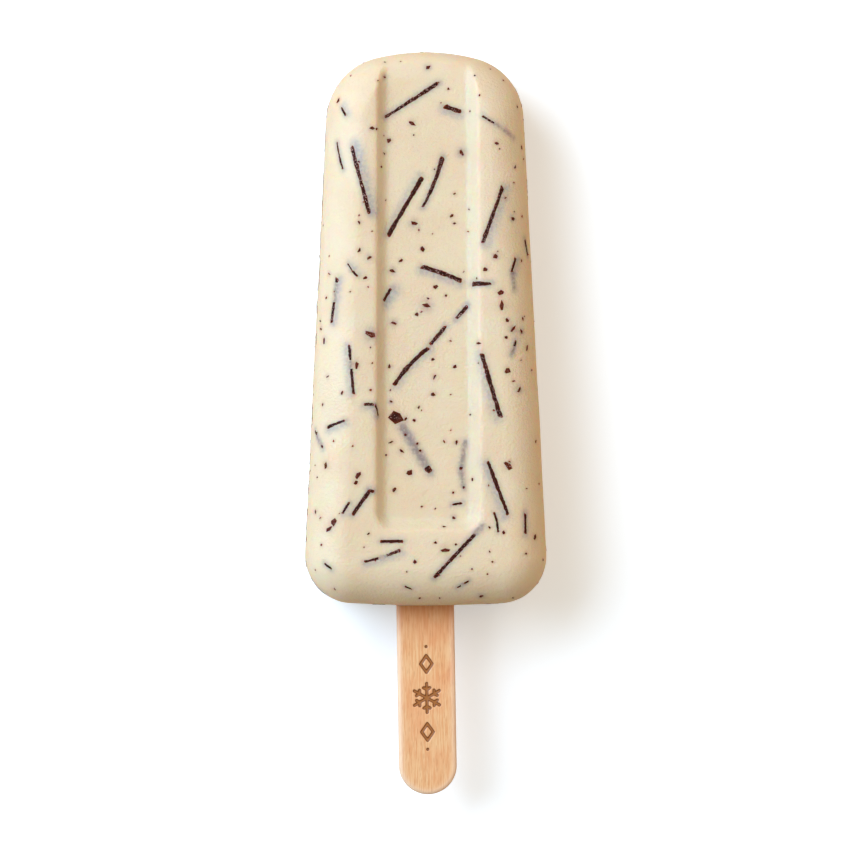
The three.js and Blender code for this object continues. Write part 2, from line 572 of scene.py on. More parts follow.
class Graph:
    """A node tree while it is being filled: it adds nodes and feeds their sockets."""

    COLOUR_FACTOR, COLOUR_A, COLOUR_B, COLOUR_RESULT = 0, 6, 7, 2

    def __init__(self, tree: bpy.types.NodeTree) -> None:
        """Takes the tree that is filled."""
        self.tree = tree

    def feed(self, socket: bpy.types.NodeSocket, value: object) -> None:
        """Joins another node's output to a socket, or sets the socket to a plain value.

        Args:
            socket: the socket that is fed.
            value: the other node's output, or the plain value.
        """
        if isinstance(value, bpy.types.NodeSocket):
            self.tree.links.new(value, socket)
        else:
            socket.default_value = value

    def node(self, kind: str, inputs: dict | None = None, **settings: object) -> bpy.types.Node:
        """Adds a node.

        Args:
            kind: the node's type name.
            inputs: what each input, by name or number, is fed with.
            settings: the node's own properties.

        Returns:
            The new node.
        """
        made = self.tree.nodes.new(kind)
        for name, value in settings.items():
            setattr(made, name, value)
        for key, value in (inputs or {}).items():
            self.feed(made.inputs[key], value)
        return made

    def blend(self, factor: object, first: object, second: object) -> bpy.types.NodeSocket:
        """Mixes two colours.

        Args:
            factor: how much of the second colour there is, from 0 to 1.
            first: the first colour.
            second: the second colour.

        Returns:
            The mixed colour's socket.
        """
        inputs = {self.COLOUR_FACTOR: factor, self.COLOUR_A: first, self.COLOUR_B: second}
        made = self.node("ShaderNodeMix", inputs, data_type="RGBA")
        return made.outputs[self.COLOUR_RESULT]

    def maths(self, operation: str, *values: object, clamp: bool = False) -> bpy.types.NodeSocket:
        """Works out one number from others, and returns its socket."""
        made = self.node("ShaderNodeMath", dict(enumerate(values)), operation=operation, use_clamp=clamp)
        return made.outputs[0]

    def spread(
        self, value: object, start: Span = (0.0, 1.0), end: Span = (0.0, 1.0)
    ) -> bpy.types.NodeSocket:
        """Stretches a value's range to another one, softly.

        Args:
            value: the value.
            start: the range that it comes in.
            end: the range that it is stretched to.

        Returns:
            The stretched value's socket.
        """
        inputs = {"Value": value, "From Min": start[0], "From Max": start[1]}
        inputs |= {"To Min": end[0], "To Max": end[1]}
        made = self.node("ShaderNodeMapRange", inputs, interpolation_type="SMOOTHSTEP")
        return made.outputs["Result"]

    def stored(self, name: str) -> bpy.types.NodeSocket:
        """The value stored on a piece's points under a name."""
        return self.node("ShaderNodeAttribute", attribute_name=name).outputs["Fac"]

    def place(self) -> bpy.types.NodeSocket:
        """Places on the object, in metres."""
        return self.node("ShaderNodeTexCoord").outputs["Object"]


class Effect(Enum):
    """The shared effects, each a shader node group."""

    MOTTLE = "cloudy_mottle"
    FLECKS = "scattered_flecks"
    RELIEF = "uneven_relief"


class EffectShelf:
    """Keeps the node groups that several finishes share, each built once."""

    FLECK_RAGGEDNESS = 0.9
    FLECK_RIM = (0.0, 0.55)

    def __init__(self) -> None:
        """Starts with no group built."""
        self.built: dict[Effect, bpy.types.NodeTree] = {}

    def use(self, graph: Graph, effect: Effect, inputs: dict) -> bpy.types.NodeSocket:
        """Places an effect in a material.

        Args:
            graph: the material's node tree.
            effect: which effect it is.
            inputs: what each of the effect's inputs is fed with.

        Returns:
            The effect's output.
        """
        if effect not in self.built:
            maker = {
                Effect.MOTTLE: self.make_mottle,
                Effect.FLECKS: self.make_flecks,
                Effect.RELIEF: self.make_relief,
            }[effect]
            self.built[effect] = maker()
        return graph.node("ShaderNodeGroup", inputs, node_tree=self.built[effect]).outputs[0]

    @staticmethod
    def start(effect: Effect, numbers: Sequence[str], output: str) -> tuple[Graph, dict, bpy.types.Node]:
        """Starts a group with a Place vector, some number inputs and one number output.

        Args:
            effect: the effect that the group is for.
            numbers: the number inputs' names.
            output: the output's name.

        Returns:
            The group's graph, its inputs by name, and its output node.
        """
        tree = bpy.data.node_groups.new(effect.value, "ShaderNodeTree")
        tree.interface.new_socket("Place", in_out="INPUT", socket_type="NodeSocketVector")
        for name in numbers:
            tree.interface.new_socket(name, in_out="INPUT", socket_type="NodeSocketFloat")
        tree.interface.new_socket(output, in_out="OUTPUT", socket_type="NodeSocketFloat")
        graph = Graph(tree)
        return graph, graph.node("NodeGroupInput").outputs, graph.node("NodeGroupOutput")

    def make_mottle(self) -> bpy.types.NodeTree:
        """Soft clouds: 0 below the Low level of a noise and 1 above its High level.

        Returns:
            The node group.
        """
        graph, given, out = self.start(Effect.MOTTLE, ("Frequency", "Low", "High"), "Mask")
        noise = graph.node(
            "ShaderNodeTexNoise",
            {"Vector": given["Place"], "Scale": given["Frequency"], "Detail": 3.0, "Roughness": 0.55},
        )
        levels = {"Value": noise.outputs["Fac"], "From Min": given["Low"], "From Max": given["High"]}
        mask = graph.node("ShaderNodeMapRange", levels, interpolation_type="SMOOTHSTEP")
        graph.feed(out.inputs["Mask"], mask.outputs["Result"])
        return graph.tree

    def make_flecks(self) -> bpy.types.NodeTree:
        """Scattered flecks: a ragged mask round a share of the cells' centres.

        Returns:
            The node group.
        """
        graph, given, out = self.start(Effect.FLECKS, ("Frequency", "Share", "Size"), "Mask")
        warp = graph.node(
            "ShaderNodeTexNoise", {"Vector": given["Place"], "Scale": given["Frequency"], "Detail": 2.0}
        )
        centred = graph.maths("SUBTRACT", warp.outputs["Fac"], 0.5)
        ragged = graph.maths("MULTIPLY", centred, self.FLECK_RAGGEDNESS)
        cells = graph.node(
            "ShaderNodeTexVoronoi", {"Vector": given["Place"], "Scale": given["Frequency"]}
        )
        chance = graph.node("ShaderNodeSeparateColor", {"Color": cells.outputs["Color"]}).outputs["Red"]
        chosen = graph.maths("LESS_THAN", chance, given["Share"])
        distance = graph.maths("ADD", cells.outputs["Distance"], ragged)
        near = graph.maths("SUBTRACT", 1.0, graph.maths("DIVIDE", distance, given["Size"]), clamp=True)
        graph.feed(out.inputs["Mask"], graph.maths("MULTIPLY", chosen, graph.spread(near, self.FLECK_RIM)))
        return graph.tree

    def make_relief(self) -> bpy.types.NodeTree:
        """A surface's unevenness: a coarse noise with some share of a finer one.

        Returns:
            The node group.
        """
        graph, given, out = self.start(Effect.RELIEF, ("Coarse", "Fine", "Fine Share"), "Height")
        shared = {"Vector": given["Place"], "Detail": 2.0}
        coarse, fine = (
            graph.node("ShaderNodeTexNoise", {**shared, "Scale": given[name]})
            for name in ("Coarse", "Fine")
        )
        extra = graph.maths("MULTIPLY", fine.outputs["Fac"], given["Fine Share"])
        graph.feed(out.inputs["Height"], graph.maths("ADD", coarse.outputs["Fac"], extra))
        return graph.tree


def new_material(name: str) -> tuple[bpy.types.Material, Graph, bpy.types.Node]:
    """Starts a material.

    Args:
        name: the material's name.

    Returns:
        The material, its graph, and its Principled shader.
    """
    material = bpy.data.materials.new(name)
    material.use_nodes = True
    graph = Graph(material.node_tree)
    return material, graph, material.node_tree.nodes["Principled BSDF"]


@dataclass(frozen=True)
class Clouds:
    """One use of the mottle: how many clouds a metre has, and the noise levels that they lie between."""

    frequency: float
    levels: Span

    def mask(self, graph: Graph, shelf: EffectShelf, place: object) -> bpy.types.NodeSocket:
        """Places the clouds in a material.

        Args:
            graph: the material's node tree.
            shelf: the shared effects.
            place: where on the object they are looked up.

        Returns:
            The clouds' mask.
        """
        low, high = self.levels
        inputs = {"Place": place, "Frequency": self.frequency, "Low": low, "High": high}
        return shelf.use(graph, Effect.MOTTLE, inputs)


@dataclass(frozen=True)
class Specks:
    """One use of the flecks: how many cells a metre has, the share of them with a fleck, and its size."""

    frequency: float
    share: float
    size: float

    def mask(self, graph: Graph, shelf: EffectShelf, place: object) -> bpy.types.NodeSocket:
        """Places the flecks in a material.

        Args:
            graph: the material's node tree.
            shelf: the shared effects.
            place: where on the object they are looked up.

        Returns:
            The flecks' mask.
        """
        inputs = {"Place": place, "Frequency": self.frequency, "Share": self.share, "Size": self.size}
        return shelf.use(graph, Effect.FLECKS, inputs)


@dataclass(frozen=True)
class Grit:
    """One use of the relief: its two frequencies in a metre, and how strong and deep it is."""

    coarse: float
    fine: float
    fine_share: float
    strength: float
    depth: float

    def roughen(self, graph: Graph, shelf: EffectShelf, place: object, shader: bpy.types.Node) -> None:
        """Feeds a material's shader with the relief.

        Args:
            graph: the material's node tree.
            shelf: the shared effects.
            place: where on the object it is looked up.
            shader: the material's shader.
        """
        inputs = {"Place": place, "Coarse": self.coarse, "Fine": self.fine, "Fine Share": self.fine_share}
        height = shelf.use(graph, Effect.RELIEF, inputs)
        bump_inputs = {"Height": height, "Strength": self.strength, "Distance": self.depth}
        bump = graph.node("ShaderNodeBump", bump_inputs)
        graph.feed(shader.inputs["Normal"], bump.outputs["Normal"])


class Tinge(Enum):
    """What chocolate does to the gelato near it, by the name that its strength is stored under."""

    HAZE = "haze"
    SUNK = "sunk"
    BLUSH = "blush"


@dataclass(frozen=True)
class GelatoFinish:
    """Frozen gelato: creamy and slightly see-through, faintly cloudy, bluish over sunk chocolate."""

    cream: str = "DCCFB2"
    butter: str = "DACAAB"
    haze: str = "8890A0"
    sunk: str = "424D62"
    blush: str = "A4583C"
    clouds: Clouds = Clouds(frequency=95.0, levels=(0.38, 0.66))
    frost: Clouds = Clouds(frequency=1500.0, levels=(0.36, 0.6))
    frost_cover: Span = (0.6, 1.0)
    grit: Grit = Grit(coarse=2000.0, fine=5200.0, fine_share=0.4, strength=0.5, depth=0.00026)
    roughness: Span = (0.38, 0.5)
    specular: float = 0.5
    refraction: float = 1.4
    scatter: float = 0.75
    scatter_depth: float = 0.0018
    scatter_colour: Triple = (1.0, 0.2, 0.06)

    def material(self, shelf: EffectShelf) -> bpy.types.Material:
        """Builds the material, which reads the strengths stored for each tinge.

        Args:
            shelf: the shared effects.

        Returns:
            The material.
        """
        material, graph, shader = new_material("gelato")
        place = graph.place()
        cloud = self.clouds.mask(graph, shelf, place)
        body = graph.blend(cloud, tone(self.cream), tone(self.butter))
        broken = graph.spread(self.frost.mask(graph, shelf, place), end=self.frost_cover)
        for kind, code in ((Tinge.HAZE, self.haze), (Tinge.SUNK, self.sunk), (Tinge.BLUSH, self.blush)):
            share = graph.maths("MULTIPLY", graph.stored(kind.value), broken)
            body = graph.blend(share, body, tone(code))
        graph.feed(shader.inputs["Base Color"], body)
        graph.feed(shader.inputs["Roughness"], graph.spread(cloud, end=self.roughness))
        shader.inputs["Specular IOR Level"].default_value = self.specular
        shader.inputs["IOR"].default_value = self.refraction
        shader.inputs["Subsurface Weight"].default_value = self.scatter
        shader.inputs["Subsurface Scale"].default_value = self.scatter_depth
        shader.inputs["Subsurface Radius"].default_value = self.scatter_colour
        self.grit.roughen(graph, shelf, place, shader)
        return material


@dataclass(frozen=True)
class ChocolateFinish:
    """Dark chocolate in frozen gelato: nearly black brown, reddish where thin, with frosty flecks."""

    dark: str = "280F09"
    warm: str = "3C180E"
    thin: str = "943E24"
    bloom: str = "B08E86"
    tint: Clouds = Clouds(frequency=900.0, levels=(0.4, 0.65))
    flecks: Specks = Specks(frequency=4200.0, share=0.5, size=0.5)
    grit: Grit = Grit(coarse=900.0, fine=4200.0, fine_share=0.6, strength=0.35, depth=0.00012)
    roughness: Span = (0.42, 0.7)
    specular: float = 0.08

    def material(self, shelf: EffectShelf) -> bpy.types.Material:
        """Builds the material, which reads the stored values frost and fringe.

        Args:
            shelf: the shared effects.

        Returns:
            The material.
        """
        material, graph, shader = new_material("chocolate")
        place = graph.place()
        flecks = self.flecks.mask(graph, shelf, place)
        frosty = graph.maths("MULTIPLY", flecks, graph.stored("frost"), clamp=True)
        body = graph.blend(self.tint.mask(graph, shelf, place), tone(self.dark), tone(self.warm))
        body = graph.blend(graph.stored("fringe"), body, tone(self.thin))
        body = graph.blend(frosty, body, tone(self.bloom))
        graph.feed(shader.inputs["Base Color"], body)
        graph.feed(shader.inputs["Roughness"], graph.spread(flecks, end=self.roughness))
        shader.inputs["Specular IOR Level"].default_value = self.specular
        self.grit.roughen(graph, shelf, place, shader)
        return material


@dataclass(frozen=True)
class BirchFinish:
    """Planed birch: fine grain along the stick, pores, ruddy patches, scorched engraving, painted
    highlights on its eased edges and painted warm shade where it enters the bar.
    """

    pale: str = "E6BF8E"
    warm: str = "DAA26E"
    ruddy: str = "DE9464"
    pore: str = "B0683A"
    # painted highlight: the eased edges are lightened, as where they catch the light
    edge: str = "F6E6D2"
    # painted shade: warm orange-brown where the stick enters the bar, for the bar's shade and the warm
    # light through the gelato
    warm_shade_tint: str = "F0803A"
    scorch: str = "A0662F"
    scorch_rim: str = "6E3B14"
    grain_stretch: Triple = (1.0, 0.05, 1.0)
    pore_stretch: Triple = (1.0, 0.09, 1.0)
    grain: Clouds = Clouds(frequency=4400.0, levels=(0.35, 0.68))
    patches: Clouds = Clouds(frequency=130.0, levels=(0.42, 0.7))
    patch_share: float = 0.42
    pores: Specks = Specks(frequency=7500.0, share=0.4, size=0.5)
    pore_share: float = 0.32
    scorch_rim_span: Span = (0.25, 0.55)
    scorch_span: Span = (0.6, 1.0)
    grit: Grit = Grit(coarse=4400.0, fine=7500.0, fine_share=0.5, strength=0.25, depth=0.00008)
    roughness: Span = (0.44, 0.55)
    specular: float = 0.4

    def material(self, shelf: EffectShelf) -> bpy.types.Material:
        """Builds the material, which reads three stored values: a painted highlight on the eased edges,
        painted warm shade where the stick enters the bar, and the engraving's scorch.

        Args:
            shelf: the shared effects.

        Returns:
            The material.
        """
        material, graph, shader = new_material("birch")
        place = graph.place()
        along_grain, along_pores = (
            graph.node("ShaderNodeMapping", {"Vector": place, "Scale": stretch}).outputs["Vector"]
            for stretch in (self.grain_stretch, self.pore_stretch)
        )
        grain = self.grain.mask(graph, shelf, along_grain)
        patches = graph.maths("MULTIPLY", self.patches.mask(graph, shelf, place), self.patch_share)
        pores = graph.maths("MULTIPLY", self.pores.mask(graph, shelf, along_pores), self.pore_share)
        scorch = graph.stored("scorch")
        body = graph.blend(grain, tone(self.pale), tone(self.warm))
        for share, code in (
            (patches, self.ruddy),
            (pores, self.pore),
            # painted highlight on the eased edges
            (graph.stored("edge"), self.edge),
            # painted warm shade where the stick enters the bar
            (graph.stored("painted_warm_shade"), self.warm_shade_tint),
            (graph.spread(scorch, self.scorch_rim_span), self.scorch_rim),
            (graph.spread(scorch, self.scorch_span), self.scorch),
        ):
            body = graph.blend(share, body, tone(code))
        graph.feed(shader.inputs["Base Color"], body)
        graph.feed(shader.inputs["Roughness"], graph.spread(grain, end=self.roughness))
        shader.inputs["Specular IOR Level"].default_value = self.specular
        self.grit.roughen(graph, shelf, along_grain, shader)
        return material


@dataclass(frozen=True)
class FloorFinish:
    """The plain pale floor. The camera sees it white, with some glow as on a light table. The light
    that it throws back at the bar is dimmer and warmer, as off the dark side of a studio."""

    shade: str = "ECF4F8"
    bounce: str = "E6C8A4"
    glow: float = 0.36
    clouds: Clouds = Clouds(frequency=3.0, levels=(0.3, 0.7))
    roughness: Span = (0.85, 0.95)

    def material(self, shelf: EffectShelf) -> bpy.types.Material:
        """Builds the material.

        Args:
            shelf: the shared effects.

        Returns:
            The material.
        """
        material, graph, shader = new_material("pale_floor")
        cloud = self.clouds.mask(graph, shelf, graph.place())
        seen = graph.node("ShaderNodeLightPath").outputs["Is Camera Ray"]
        graph.feed(shader.inputs["Base Color"], graph.blend(seen, tone(self.bounce), tone(self.shade)))
        graph.feed(shader.inputs["Roughness"], graph.spread(cloud, end=self.roughness))
        graph.feed(shader.inputs["Emission Strength"], graph.maths("MULTIPLY", seen, self.glow))
        shader.inputs["Emission Color"].default_value = tone(self.shade)
        shader.inputs["Specular IOR Level"].default_value = 0.0
        return material


# ---------------------------------------------------------------------------------------------------
# Chocolate


@dataclass(frozen=True)
class Track:
    """The way that a sliver takes over the surface, point by point."""

    points: Array
    normals: Array
    sides: Array
    share: Array
    length: float


@dataclass(frozen=True)
class Veil:
    """A soft-edged patch of changed gelato round some places, of one kind."""

    kind: Tinge
    points: Array
    reach: float
    strength: float


@dataclass(frozen=True)
class Sliver:
    """A sliver of chocolate at the gelato's surface.

    A start or end of two numbers is a place on the shown face. One of three is a place in space.
    Sides are +1 for the left hand on the way from start to end, and -1 for the right hand.
    """

    start: tuple[float, ...]
    end: tuple[float, ...]
    width: float = 0.7
    narrowing: float = 0.0
    bow: float = 0.0
    veil: float = 0.3
    veil_side: float = 0.0
    veil_reach: float = 0.75
    rim: float = 0.2
    sunk: Span = (2.0, 2.0)
    sunk_veil: float = 0.42
    frost: float = 0.5

    AFLOAT = (2.0, 2.0)
    STATION = 0.15
    FEWEST_STATIONS = 5
    SINK_BLUR = 0.06
    HAZE_SHIFT = 0.45
    RIM_REACH = 0.22
    BLUSH_REACH = 0.35
    BLUSH_STRENGTH = 0.12
    SUNK_SPREAD = 0.62

    def sinking(self, share: Array) -> Array:
        """How far under the surface the sliver is.

        Args:
            share: places along it, from 0 at its start to 1 at its end.

        Returns:
            A share for each place: 0 at the surface and 1 right under it.
        """
        low, high = self.sunk
        rise = soft_step((share - low) / self.SINK_BLUR + 1.0)
        return rise * soft_step((high - share) / self.SINK_BLUR + 1.0)

    def veils(self, track: Track) -> list[Veil]:
        """The changes round the sliver: a frosty haze to its side, gelato that thins out over its edges
        and over any stretch where it is sunk, and a faint blush.

        Args:
            track: the way that it takes.

        Returns:
            Its veils.
        """
        half = 0.5 * self.width
        aside = track.sides * (self.veil_side * (half + self.HAZE_SHIFT * self.veil_reach))
        found = [
            Veil(Tinge.HAZE, track.points + aside, self.veil_reach, self.veil),
            Veil(Tinge.SUNK, track.points, half + self.RIM_REACH, self.rim),
            Veil(Tinge.BLUSH, track.points, half + self.BLUSH_REACH, self.BLUSH_STRENGTH),
        ]
        deep = self.sinking(track.share) > 0.5
        if deep.any():
            reach = self.SUNK_SPREAD * self.width
            found.append(Veil(Tinge.SUNK, track.points[deep], reach, self.sunk_veil))
        return found


def lay(form: BarForm, slivers: Sequence[Sliver]) -> list[Track]:
    """Lays the slivers' middle lines on the surface, all at once.

    Args:
        form: the bar that they lie on.
        slivers: the slivers.

    Returns:
        One track for each sliver.
    """
    starts = form.seats([sliver.start for sliver in slivers])
    ends = form.seats([sliver.end for sliver in slivers])
    lengths = np.linalg.norm(ends - starts, axis=1)
    counts = [max(Sliver.FEWEST_STATIONS, round(length / Sliver.STATION) + 1) for length in lengths]
    shares = [np.linspace(0.0, 1.0, count) for count in counts]
    cuts = np.cumsum([len(share) for share in shares])[:-1]
    bows = [4.0 * sliver.bow * t * (1.0 - t) for sliver, t in zip(slivers, shares)]
    straight = [a + (b - a) * t[:, None] for a, b, t in zip(starts, ends, shares)]
    line = form.settle(np.concatenate(straight))
    for offset in (np.concatenate(bows)[:, None], None):
        normals = form.normals(line)
        ways = np.concatenate([np.gradient(part, axis=0) for part in np.split(line, cuts)])
        sides = unit(np.cross(normals, ways))
        if offset is not None:
            line = form.settle(line + sides * offset)
    parts = zip(np.split(line, cuts), np.split(normals, cuts), np.split(sides, cuts), shares, lengths)
    return [Track(*part) for part in parts]


@dataclass(frozen=True)
class Chip:
    """A shard or crumb of chocolate at the surface, as long and wide as it says, turned in degrees."""

    place: tuple[float, ...]
    length: float
    width: float
    turn: float = 0.0
    veil: float = 0.0
    frost: float = 0.2
    fringe: float = 0.62

    HAZE_ROOM = 0.35
    BLUSH_ROOM = 0.15
    BLUSH_STRENGTH = 0.4

    def veils(self, seat: Array) -> list[Veil]:
        """The changes round the chip: a reddish blush, and a haze if it has one.

        Args:
            seat: its place on the surface.

        Returns:
            Its veils.
        """
        half = 0.5 * self.length
        return [
            Veil(Tinge.BLUSH, seat[None], half + self.BLUSH_ROOM, self.BLUSH_STRENGTH),
            Veil(Tinge.HAZE, seat[None], half + self.HAZE_ROOM, self.veil),
        ]


class Inlay:
    """Gathers many pieces of chocolate into one mesh whose points lie at heights over the surface."""

    RAG = 0.016
    RAG_GRAIN = 0.7
    FINE_RAG = 0.009
    FINE_RAG_GRAIN = 0.16
    NOISE_SHIFT = 7.0

    def __init__(self, form: BarForm) -> None:
        """Starts with nothing gathered.

        Args:
            form: the bar whose surface the chocolate lies in.
        """
        self.form = form
        self.noise = LatticeNoise(seed=23)
        self.seeds: list[Array] = []
        self.heights: list[Array] = []
        self.frosts: list[Array] = []
        self.fringes: list[Array] = []
        self.rag: list[Array] = []
        self.faces: Faces = []
        self.count = 0

    def add(
        self, seeds: Array, heights: Array, frost: Array, fringe: Array, rag: Array, faces: Faces
    ) -> None:
        """Gathers one closed shape.

        Args:
            seeds: points near the surface.
            heights: how far over the surface each point ends up.
            frost: how frosty each point is, from 0 to 1.
            fringe: how thin and reddish the chocolate is at each point, from 0 to 1.
            rag: how much of the raggedness each point takes, from 0 to 1.
            faces: the shape's faces, by point numbers that start at 0.
        """
        self.seeds.append(seeds)
        self.heights.append(heights)
        self.frosts.append(frost)
        self.fringes.append(fringe)
        self.rag.append(rag)
        self.faces.extend(tuple(i + self.count for i in face) for face in faces)
        self.count += len(seeds)

    def piece(self, name: str, material: bpy.types.Material) -> bpy.types.Object:
        """Settles everything gathered on to the surface, as one mesh piece.

        Args:
            name: the piece's name.
            material: what it is dressed with.

        Returns:
            The piece.
        """
        seats = self.form.settle(np.concatenate(self.seeds))
        ragged = self.RAG * self.noise.at(seats, self.RAG_GRAIN)
        ragged += self.FINE_RAG * self.noise.at(seats + self.NOISE_SHIFT, self.FINE_RAG_GRAIN)
        heights = np.concatenate(self.heights) + ragged * np.concatenate(self.rag)
        points = seats + self.form.normals(seats) * heights[:, None]
        piece = mesh_piece(name, points, self.faces)
        paint(piece, "frost", np.concatenate(self.frosts))
        paint(piece, "fringe", np.concatenate(self.fringes))
        piece.data.materials.append(material)
        return piece


@dataclass(frozen=True)
class SliverShape:
    """How a sliver is cut: the loop round it, how proud it stands, and how its ends are broken."""

    top_points: int = 9
    under_places: tuple[float, ...] = (0.7, 0.0, -0.7)
    spread: float = 1.22
    proud: float = 0.05
    edge_drop: float = 0.2
    edge_power: float = 5.0
    sink_depth: float = 0.3
    depth_share: float = 0.55
    width_rag: float = 0.2
    width_grain: float = 1.3
    edge_rag: float = 0.115
    edge_grain: float = 0.3
    end_run: float = 0.25
    end_skew: float = 0.9
    end_narrowing: float = 0.28
    end_dip: float = 0.9
    belly: float = 0.6
    frost_from: float = 1.3
    fringe_from: float = 0.48
    fringe_run: float = 0.25
    fringe_at_end: float = 0.3
    fringe_most: float = 0.8
    side_shift: float = 5.3

    def add_to(self, inlay: Inlay, sliver: Sliver, track: Track) -> None:
        """Adds a sliver to the gathered chocolate.

        Args:
            inlay: what gathers it.
            sliver: the sliver.
            track: the way that it takes.
        """
        stations = len(track.points)
        from_end = np.minimum(track.share, 1.0 - track.share) * track.length
        fill = np.clip(from_end / (self.end_run * sliver.width), 0.0, 1.0)
        across = np.concatenate([np.linspace(-1.0, 1.0, self.top_points), self.under_places])
        on_top = np.arange(len(across)) < self.top_points
        height = np.tile(self.section(across, on_top, sliver.width), (stations, 1))
        dips = self.sink_depth * sliver.sinking(track.share) + self.end_dip * self.proud * (1.0 - fill) ** 2
        height -= np.where(on_top, dips[:, None], 0.0)
        seeds = self.spread_out(inlay, sliver, track, across, fill)
        frost = sliver.frost * np.clip(self.frost_from - np.abs(across), 0.0, 1.0) * np.ones((stations, 1))
        at_side = soft_step((np.abs(across) - self.fringe_from) / self.fringe_run)
        at_end = soft_step(1.0 - from_end / self.fringe_at_end)
        fringe = np.maximum(at_side, at_end[:, None]) * self.fringe_most
        inlay.add(
            seeds.reshape(-1, 3),
            height.ravel(),
            frost.ravel(),
            fringe.ravel(),
            np.tile(on_top.astype(float), stations),
            tube_faces(stations, len(across)),
        )

    def section(self, across: Array, on_top: Array, width: float) -> Array:
        """The heights of the loop round a sliver, over the surface.

        Args:
            across: the loop's points, from -1 to 1 across the sliver.
            on_top: which of them are on its upper side.
            width: the sliver's width.

        Returns:
            A height for each point.
        """
        over = self.proud - self.edge_drop * np.abs(across) ** self.edge_power
        under = -self.depth_share * width * np.sqrt(1.0 - self.belly * np.abs(across))
        return np.where(on_top, over, under)

    def spread_out(self, inlay: Inlay, sliver: Sliver, track: Track, across: Array, fill: Array) -> Array:
        """Spreads the loops' points out to the sliver's ragged sides and broken ends.

        Args:
            inlay: what gathers it, whose noise is used.
            sliver: the sliver.
            track: the way that it takes.
            across: the loop's points, from -1 to 1 across the sliver.
            fill: for each station, 0 at the sliver's ends and 1 clear of them.

        Returns:
            A point near the surface for each station and each point of the loop.
        """
        blunt = 1.0 - self.end_narrowing * (1.0 - np.sqrt(np.maximum(1.0 - (1.0 - fill) ** 2, 0.0)))
        rag = 1.0 + self.width_rag * inlay.noise.at(track.points, self.width_grain)
        half = 0.5 * sliver.width * blunt * rag * (1.0 - sliver.narrowing * track.share)
        left, right = (
            inlay.noise.at(track.points + shift, self.edge_grain) for shift in (0.0, self.side_shift)
        )
        rough = np.where(across > 0.0, left[:, None], right[:, None])
        reach = across * (half[:, None] * self.spread + self.edge_rag * rough)
        skew = self.end_skew * inlay.noise.at(track.points[[0, -1]], self.width_grain)
        from_end = np.minimum(track.share, 1.0 - track.share) * track.length
        near_end = np.maximum(1.0 - from_end / sliver.width, 0.0)
        slant = np.where(track.share < 0.5, skew[0], skew[1]) * near_end
        ways = np.cross(track.sides, track.normals)
        seeds = track.points[:, None] + track.sides[:, None] * reach[..., None]
        return seeds + ways[:, None] * (slant[:, None] * reach)[..., None]


@dataclass(frozen=True)
class ChipShape:
    """How a chip is broken: an uneven polygon, proud in its middle, with a bevelled edge."""

    corners: int = 5
    steps_between: int = 3
    rings: tuple[tuple[float, float, float], ...] = (
        (0.45, 1.0, 0.1),
        (0.78, 0.9, 0.4),
        (0.95, 0.45, 1.0),
        (1.1, -1.6, 1.0),
    )
    proud: float = 0.055
    depth: float = 0.45
    depth_share: float = 0.5
    under_ring: float = 0.7
    corner_sway: float = 0.35
    corner_reach: Span = (0.85, 1.35)
    whole_from: float = 0.5
    whole_gain: float = 1.8

    def outline(self, rng: np.random.Generator) -> Array:
        """Draws an uneven outline.

        Args:
            rng: where the random draws come from.

        Returns:
            A closed outline of about one unit's radius, counterclockwise.
        """
        sway = rng.uniform(-self.corner_sway, self.corner_sway, self.corners)
        turns = (sway + np.arange(self.corners)) / self.corners
        reach = rng.uniform(*self.corner_reach, self.corners)
        knots = np.stack([np.cos(turns * math.tau), np.sin(turns * math.tau)], axis=1) * reach[:, None]
        share = np.arange(self.steps_between) / self.steps_between
        following = np.roll(knots, -1, axis=0)
        return (knots[:, None] + (following - knots)[:, None] * share[:, None]).reshape(-1, 2)

    def add_to(
        self, inlay: Inlay, chip: Chip, seat: Array, normal: Array, rng: np.random.Generator
    ) -> None:
        """Adds a chip to the gathered chocolate.

        Args:
            inlay: what gathers it.
            chip: the chip.
            seat: its place on the surface.
            normal: the outward direction there.
            rng: where its uneven outline is drawn from.
        """
        reference = np.eye(3)[0] if abs(normal[0]) < 0.9 else np.eye(3)[1]
        side = unit(reference - normal * (reference @ normal))
        turn = math.radians(chip.turn)
        long_way = side * math.cos(turn) + np.cross(normal, side) * math.sin(turn)
        wide_way = np.cross(normal, long_way)
        outline = self.outline(rng)
        flat = outline[:, :1] * long_way * chip.length / 2.0 + outline[:, 1:] * wide_way * chip.width / 2.0
        size = len(outline)
        scales, levels, fringes = zip(*self.rings, (self.under_ring, 0.0, 1.0))
        repeats = [1] + [size] * len(scales) + [1]
        under = slice(-size - 1, None)
        seeds = np.concatenate([seat[None], *(seat + flat * scale for scale in scales), seat[None]])
        heights = np.repeat([1.0, *levels, 1.0], repeats) * self.proud
        heights[under] = -min(self.depth, self.depth_share * chip.width)
        fringe = chip.fringe * np.repeat([0.0, *fringes, 1.0], repeats)
        fringe = np.maximum(fringe, self.whole_gain * (chip.fringe - self.whole_from))
        rag = np.ones(len(seeds))
        rag[under] = 0.0
        frost = np.full(len(seeds), chip.frost)
        inlay.add(seeds, heights, frost, fringe, rag, self.faces(size, len(scales)))

    @staticmethod
    def faces(size: int, layers: int) -> Faces:
        """The faces over a chip's rings, with a fan at its middle above and one below.

        Args:
            size: how many points each ring has.
            layers: how many rings there are.

        Returns:
            The point numbers of each face.
        """
        following = [(i + 1) % size for i in range(size)]
        last = 1 + size * layers
        made: Faces = [(0, 1 + i, 1 + j) for i, j in enumerate(following)]
        for layer in range(layers - 1):
            inner, outer = 1 + layer * size, 1 + (layer + 1) * size
            made += [(inner + i, outer + i, outer + j, inner + j) for i, j in enumerate(following)]
        inner = last - size
        return made + [(inner + i, last, inner + j) for i, j in enumerate(following)]


